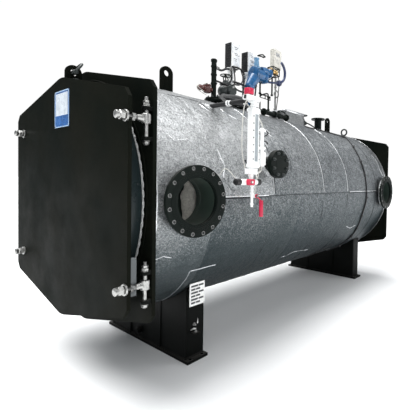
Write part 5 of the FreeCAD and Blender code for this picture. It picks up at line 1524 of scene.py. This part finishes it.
    loops.bar((DRAIN_PIVOT[0], y - 0.023, DRAIN_PIVOT[1]),
        (DRAIN_PIVOT[0], y - 0.03, DRAIN_PIVOT[1]), 0.013, 20)
    loops.make("gauge_black_wires", CABLE)


# ---------------------------------------------------------------- saddles and plates
def bead(shape, start, end, radius=0.0042, pitch=0.009):
    """A rippled fillet weld between two points."""
    a, b = Vector(start), Vector(end)
    length = (b - a).length
    count = max(4, round(length / pitch))
    profile = []
    for index in range(count * 2 + 1):
        ripple = noise.noise(Vector((index * 0.4, a.x * 3, a.z * 3)))
        wave = radius * (1.0 + 0.16 * (index % 2) + 0.1 * ripple)
        profile.append((length * index / (count * 2), wave))
    shape.lathe(a, b - a, profile, 8)


def make_saddle_looks():
    """Weld beads, end plates, an earth stud and the rating plate's blank bars."""
    beads = Shape()
    plates = Shape()
    bolts = Shape()
    for name in ("front", "rear"):
        low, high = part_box(name + "_saddle")
        top = low.z
        for y in (low.y, high.y):
            for x in (low.x, high.x):
                bead(beads, (x, y * 0.998, top + 0.004), (x, y * 0.998, 0.735))
            bead(beads, (low.x, y, top + 0.003), (high.x, y, top + 0.003), 0.006)
        for x in (low.x, high.x):
            bead(beads, (x, low.y, top + 0.003), (x, high.y, top + 0.003), 0.006)
            side = -1 if x < (low.x + high.x) / 2 else 1
            for y in (-0.245, 0.245):
                plates.hull([(x, y + dy, z) for dy in (-0.006, 0.006) for z in (top, 0.54)]
                            + [(x + side * (0.004 if z > 0.3 else 0.014), y + dy, z) for dy in (-0.006,
                            0.006) for z in (top, 0.54)])
                bead(beads, (x + side * 0.001, y - 0.0075, top + 0.02),
                    (x + side * 0.001, y - 0.0075, 0.53), 0.0035)
            for y in (low.y + 0.02, high.y - 0.02):
                plates.block((min(x, x + side * 0.003), y - 0.018, top + 0.012),
                    (max(x, x + side * 0.003), y + 0.018, 0.7), 0.0008)
        middle_x = (low.x + high.x) / 2
        for y, side in ((low.y, -1), (high.y, 1)):
            plates.block((middle_x - 0.07, min(y, y + side * 0.0025), top + 0.014),
                (middle_x + 0.07, max(y, y + side * 0.0025), 0.47 if name == "front" else 0.7), 0.0008)
    low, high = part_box("front_saddle")
    plates.bar((low.x - 0.001, 0.075, 0.1), (low.x - 0.034, 0.075, 0.1), 0.03, 32, 0.003)
    plates.bar((low.x - 0.03, 0.075, 0.1), (low.x - 0.042, 0.075, 0.1), 0.024, 32, 0.005)
    plates.block((-0.04, low.y - 0.052, 0.232), (0.02, low.y, 0.24), 0.001)
    plates.make("saddle_plates", SADDLE_BLACK)
    beads.make("saddle_welds", SADDLE_BLACK, crisp=60)
    bolts.bar((-0.008, low.y, 0.3), (-0.008, low.y - 0.026, 0.3), 0.0065, 14)
    bolts.hexagon((-0.008, low.y - 0.006, 0.3), NEAR, 0.019, 0.009)
    bolts.band((-0.008, low.y - 0.002, 0.3), NEAR, 0.006, 0.014, 0.003, 20, 0.0006)
    bolts.bar((-0.01, low.y - 0.03, 0.24), (-0.01, low.y - 0.03, 0.262), 0.0065, 14)
    bolts.hexagon((-0.01, low.y - 0.03, 0.2405), UP, 0.022, 0.009)
    bolts.make("earth_studs", STEEL)
    scrapes = Shape()
    scrapes.hull([(x, low.y - 0.003, z) for x, z in ((-0.045, 0.262), (-0.01, 0.27), (0.02, 0.256),
        (0.006, 0.25), (-0.04, 0.255))]
        + [(-0.01, low.y - 0.0026, 0.26)])
    scrapes.hull([(x, low.y - 0.003, z) for x, z in ((0.024, 0.3), (0.03, 0.345), (0.034, 0.3),
        (0.03, 0.292))] + [(0.029, low.y - 0.0026, 0.31)])
    scrapes.make("saddle_scrapes", PLATE)

    plate_low, plate_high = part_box("rating_plate")
    face = plate_low.y
    bars = Shape()
    x0, x1 = plate_low.x + 0.012, plate_high.x - 0.012
    z0, z1 = plate_low.z + 0.012, plate_high.z - 0.012
    rows = 6
    step = (z1 - z0) / rows
    for index in range(rows):
        z = z0 + step * index
        for share_low, share_high in (((0.0, 0.55), (0.6, 1.0)) if index % 2 else ((0.0, 0.34),
                (0.39, 0.72))):
            bars.block((x0 + (x1 - x0) * share_low, face - 0.001, z + step * 0.22),
                (x0 + (x1 - x0) * share_high, face + 0.001, z + step * 0.78), 0.0004)
    bars.make("rating_plate_fields", DARK_MARK)
    rivets = Shape()
    for x in (plate_low.x + 0.007, plate_high.x - 0.007):
        for z in (plate_low.z + 0.007, plate_high.z - 0.007):
            rivets.lathe((x, face, z), NEAR, [(-0.001, 0.0034), (0.0014, 0.003), (0.0024, 0.0012),
                (0.0026, 0.0003)], 12)
    rivets.make("rating_plate_rivets", STEEL)

    foot = Shape()
    for name in ("front", "rear"):
        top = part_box(name + "_saddle_base")[1].z
        middle_x = middle(name + "_saddle_base").x
        for y in (-ANCHOR_Y, ANCHOR_Y):
            for dx in (-ANCHOR_X, ANCHOR_X):
                foot.band((middle_x + dx, y, top), UP, 0.0142, 0.019, 0.0008, 24, 0.0003)
    foot.make("anchor_hole_rims", STEEL)


def make_plate_looks():
    """Weld beads round the shell at the plates, plate stiffeners, ear welds and the rear cover's bolts."""
    beads = Shape()
    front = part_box("front_tube_plate")[0].x - 0.001
    beads.ring((front, 0, AXIS_Z), REAR, 0.905, 0.006, 192, 8)
    for low, high in EAR_LEVELS:
        for z in (low, high):
            for dz in (-0.012, 0.012):
                bead(beads, (front, HINGE_Y - 0.014, z + dz), (front, HINGE_Y + 0.026, z + dz), 0.0035)
    for x in LUG_PLACES:
        for y in (-0.017, 0.017):
            bead(beads, (x - 0.065, y, AXIS_Z + JACKET_R + 0.004),
                (x + 0.065, y, AXIS_Z + JACKET_R + 0.004), 0.004)
    beads.make("plate_welds", BLACK, crisp=60)

    rear = Shape()
    cover_low, cover_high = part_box("rear_cover")
    face = cover_high.x
    for place in bolt_places((face - 0.0002, 0, AXIS_Z), REAR, COVER_CIRCLE, COVER_BOLTS):
        rear.hexagon(place + Vector((-0.011, 0, 0)), REAR, 0.03, 0.0115, place.y * 3)
    rear.make("rear_cover_bolts", ZINC)
    trims = Shape()
    centre = Vector((face, 0.0, AXIS_Z))
    trims.lathe(centre + Vector((-0.004, 0, SIGHT_GLASS_UP)), REAR,
        [(0, 0.07), (0.0045, 0.069), (0.005, 0.04), (0.0052, 0.039)], 48)
    for y in (-0.52, 0.52):
        foot = [(face - 0.002, y + dy, z)
            for dy in (-0.008, 0.008) for z in (AXIS_Z - 0.55, AXIS_Z + 0.55)]
        head = [(face + 0.0012, y + dy, z)
            for dy in (-0.006, 0.006) for z in (AXIS_Z - 0.545, AXIS_Z + 0.545)]
        trims.hull(foot + head)
    trims.ring((cover_low.x + 0.001, 0, AXIS_Z), REAR, 0.8705, 0.005, 192, 8)
    trims.lathe(centre + Vector((-0.004, 0, PORT_UP)), REAR, [(0, 0.23), (0.0045, 0.229), (0.0052, 0.205),
        (0.0052, 0.1)], 72)
    trims.make("rear_cover_trims", BLACK)
    glass = Shape()
    glass.lathe(centre + Vector((-0.002, 0, SIGHT_GLASS_UP)), REAR,
        [(0, 0.036), (0.003, 0.035), (0.0032, 0.01)], 36)
    glass.make("sight_glass", GLASS_STRIP)
    studs = Shape()
    for place in bolt_places(centre + Vector((0.0008, 0, SIGHT_GLASS_UP)), REAR, 0.108, 8):
        studs.hexagon(place + Vector((-0.006, 0, 0)), REAR, 0.014, 0.0068)
    for place in bolt_places(centre + Vector((0.0008, 0, PORT_UP)), REAR, 0.43, 12):
        studs.hexagon(place + Vector((-0.006, 0, 0)), REAR, 0.02, 0.0068)
    studs.make("rear_port_bolts", ZINC)


def soften(node, width):
    """Rounds a CAD node's hard edges a little without touching its mesh."""
    piece = NODES[node]
    weld = piece.modifiers.new("weld", "WELD")
    weld.merge_threshold = 0.00005
    bevel = piece.modifiers.new("soft_edges", "BEVEL")
    bevel.width = width
    bevel.segments = 2
    bevel.limit_method = "ANGLE"
    bevel.angle_limit = math.radians(50)
    bevel.harden_normals = False


for make_part in (
    make_lagging, make_seams, make_door_fittings, make_hinge_pins, make_flue_fittings, make_blind_fittings,
    make_pad_fittings, make_stop_valve_looks, make_conduits, make_probe_heads, make_safety_valve_looks,
    make_switch_looks, make_vent_looks, make_drain_looks, make_hump_skin, make_gauge_looks,
    make_saddle_looks, make_plate_looks,
):
    make_part()


# ---------------------------------------------------------------- CAD nodes' own materials
OWN_MATERIAL = {
    "front_saddle": SADDLE_BLACK, "rear_saddle": SADDLE_BLACK, "front_saddle_base": SADDLE_BLACK,
    "rear_saddle_base": SADDLE_BLACK, "hinge_ears": SADDLE_BLACK, "drain_pipe": FITTING_BLACK,
    "stop_valve_column": FITTING_BLACK, "rear_lifting_eye": CASTING,
}
for row in frame["record"]["subparts"]:
    node = NODES[row["node"]]
    node.data.materials.clear()
    node.data.materials.append(OWN_MATERIAL.get(row["node"], SLOT_MATERIAL[row["material_slot"]]))
for names, width in (
    (("front_saddle", "rear_saddle", "front_saddle_base", "rear_saddle_base", "door_plate",
    "front_tube_plate",
      "rear_tube_plate", "rear_cover", "hinge_ears", "lifting_lugs", "door_lifting_lug"), 0.0025),
    (("front_flue_nozzle", "rear_flue_nozzle", "blind_nozzle", "steam_outlet", "front_pad", "rear_pad",
    "drain_pipe",
      "door_lining"), 0.002),
    (("gauge_top_knob", "gauge_bottom_handle"), 0.008),
    (("gauge_top_cock", "gauge_bottom_cock", "gauge_standpipe", "level_gauge", "gauge_drain_lever"), 0.003),
    (("safety_valve_lever", "vent_handwheel", "rating_plate", "door_sign", "level_probe_necks",
      "stop_valve_column"), 0.001),
):
    for name in names:
        soften(name, width)


# ---------------------------------------------------------------- floor, light and camera
ROOM_LIGHT = 0.75
SEEN_WHITE = 1.02
SUN_LIGHT = 4.3
SUN_SPREAD = 46
SUN_TOWARDS = (0.22, -0.22, -1.0)
FLOOR_REACH = 400.0
CAMERA_PLACE = (-1.8293, -2.9434, 1.539)
CAMERA_TURN = (88.617, -1.134, -54.586)
CAMERA_SHIFT = (-0.2235, -0.0402)
LENS, SENSOR = 29.59, 36.0


def make_floor():
    mesh = bpy.data.meshes.new("floor")
    mesh.from_pydata([*[(x * FLOOR_REACH, y * FLOOR_REACH, 0) for x,
        y in ((-1, -1), (1, -1), (1, 1), (-1, 1))]], [], [(0, 1, 2, 3)])
    n = Nodes("floor_paint")
    tone = n.mix(n.ramp(n.noise(1.2, 5), 0.3, 0.7), (0.93, 0.935, 0.94), (0.91, 0.915, 0.92))
    n.bump((n.noise(140, 3), 0.03, 0.001),)
    mesh.materials.append(n.set(Base_Color=tone, Roughness=0.62))
    floor = bpy.data.objects.new("floor", mesh)
    bpy.context.scene.collection.objects.link(floor)


def make_lights():
    world = bpy.data.worlds.new("studio")
    bpy.context.scene.world = world
    world.use_nodes = True
    tree = world.node_tree
    seen = tree.nodes["Background"]
    seen.inputs["Color"].default_value = (1.0, 1.0, 1.0, 1.0)
    seen.inputs["Strength"].default_value = SEEN_WHITE
    room = tree.nodes.new("ShaderNodeBackground")
    room.inputs["Strength"].default_value = ROOM_LIGHT
    place = tree.nodes.new("ShaderNodeTexCoord")
    parts = tree.nodes.new("ShaderNodeSeparateXYZ")
    ramp = tree.nodes.new("ShaderNodeValToRGB")
    for spot, value in zip(ramp.color_ramp.elements, ((0.3, 0.1), (1.0, 1.0))):
        spot.position, tone = value
        spot.color = (tone * 0.97, tone * 0.99, tone, 1.0)
    middle_spot = ramp.color_ramp.elements.new(0.62)
    middle_spot.color = (0.24, 0.26, 0.28, 1.0)
    shift = tree.nodes.new("ShaderNodeMapRange")
    shift.inputs["From Min"].default_value = -1.0
    mixer = tree.nodes.new("ShaderNodeMixShader")
    kind = tree.nodes.new("ShaderNodeLightPath")
    for given in (
        (place.outputs["Generated"], parts.inputs["Vector"]),
        (parts.outputs["Z"], shift.inputs["Value"]),
        (shift.outputs["Result"], ramp.inputs["Fac"]),
        (ramp.outputs["Color"], room.inputs["Color"]),
        (kind.outputs["Is Camera Ray"], mixer.inputs["Fac"]),
        (room.outputs["Background"], mixer.inputs[1]),
        (seen.outputs["Background"], mixer.inputs[2]),
        (mixer.outputs["Shader"], tree.nodes["World Output"].inputs["Surface"]),
    ):
        tree.links.new(*given)
    target = Vector((1.0, 0.0, 1.4))
    for name, place, size, power, aim in (
        ("ceiling", (1.9, -2.0, 4.9), 1.5, 26.0, (-0.4, -0.8, 1.8)),
        ("key", (-2.6, -5.4, 4.6), 2.2, 96.0, (-0.2, -0.9, 1.7)),
        ("side", (-5.5, -1.5, 3.4), 2.4, 14.0, (-0.8, 0.0, 1.6)),
        ("fill", (6.5, -6.0, 3.0), 4.0, 80.0, target),
        ("back", (3.0, 6.5, 4.5), 4.0, 80.0, target),
    ):
        light = bpy.data.lights.new(name, "AREA")
        light.size = size
        light.energy = power
        lamp = bpy.data.objects.new(name, light)
        lamp.location = place
        lamp.rotation_euler = (Vector(aim) - Vector(place)).to_track_quat("-Z", "Y").to_euler()
        bpy.context.scene.collection.objects.link(lamp)
    sun = bpy.data.lights.new("overhead", "SUN")
    sun.energy = SUN_LIGHT
    sun.angle = math.radians(SUN_SPREAD)
    lamp = bpy.data.objects.new("overhead", sun)
    lamp.rotation_euler = Vector(SUN_TOWARDS).to_track_quat("-Z", "Y").to_euler()
    bpy.context.scene.collection.objects.link(lamp)


def make_camera():
    data = bpy.data.cameras.new("camera")
    data.sensor_width = SENSOR
    data.lens = LENS
    data.shift_x, data.shift_y = CAMERA_SHIFT
    camera = bpy.data.objects.new("camera", data)
    camera.location = CAMERA_PLACE
    camera.rotation_euler = [math.radians(a) for a in CAMERA_TURN]
    bpy.context.scene.collection.objects.link(camera)
    bpy.context.scene.camera = camera


make_floor()
make_lights()
make_camera()
bpy.context.scene.view_settings.view_transform = "Standard"
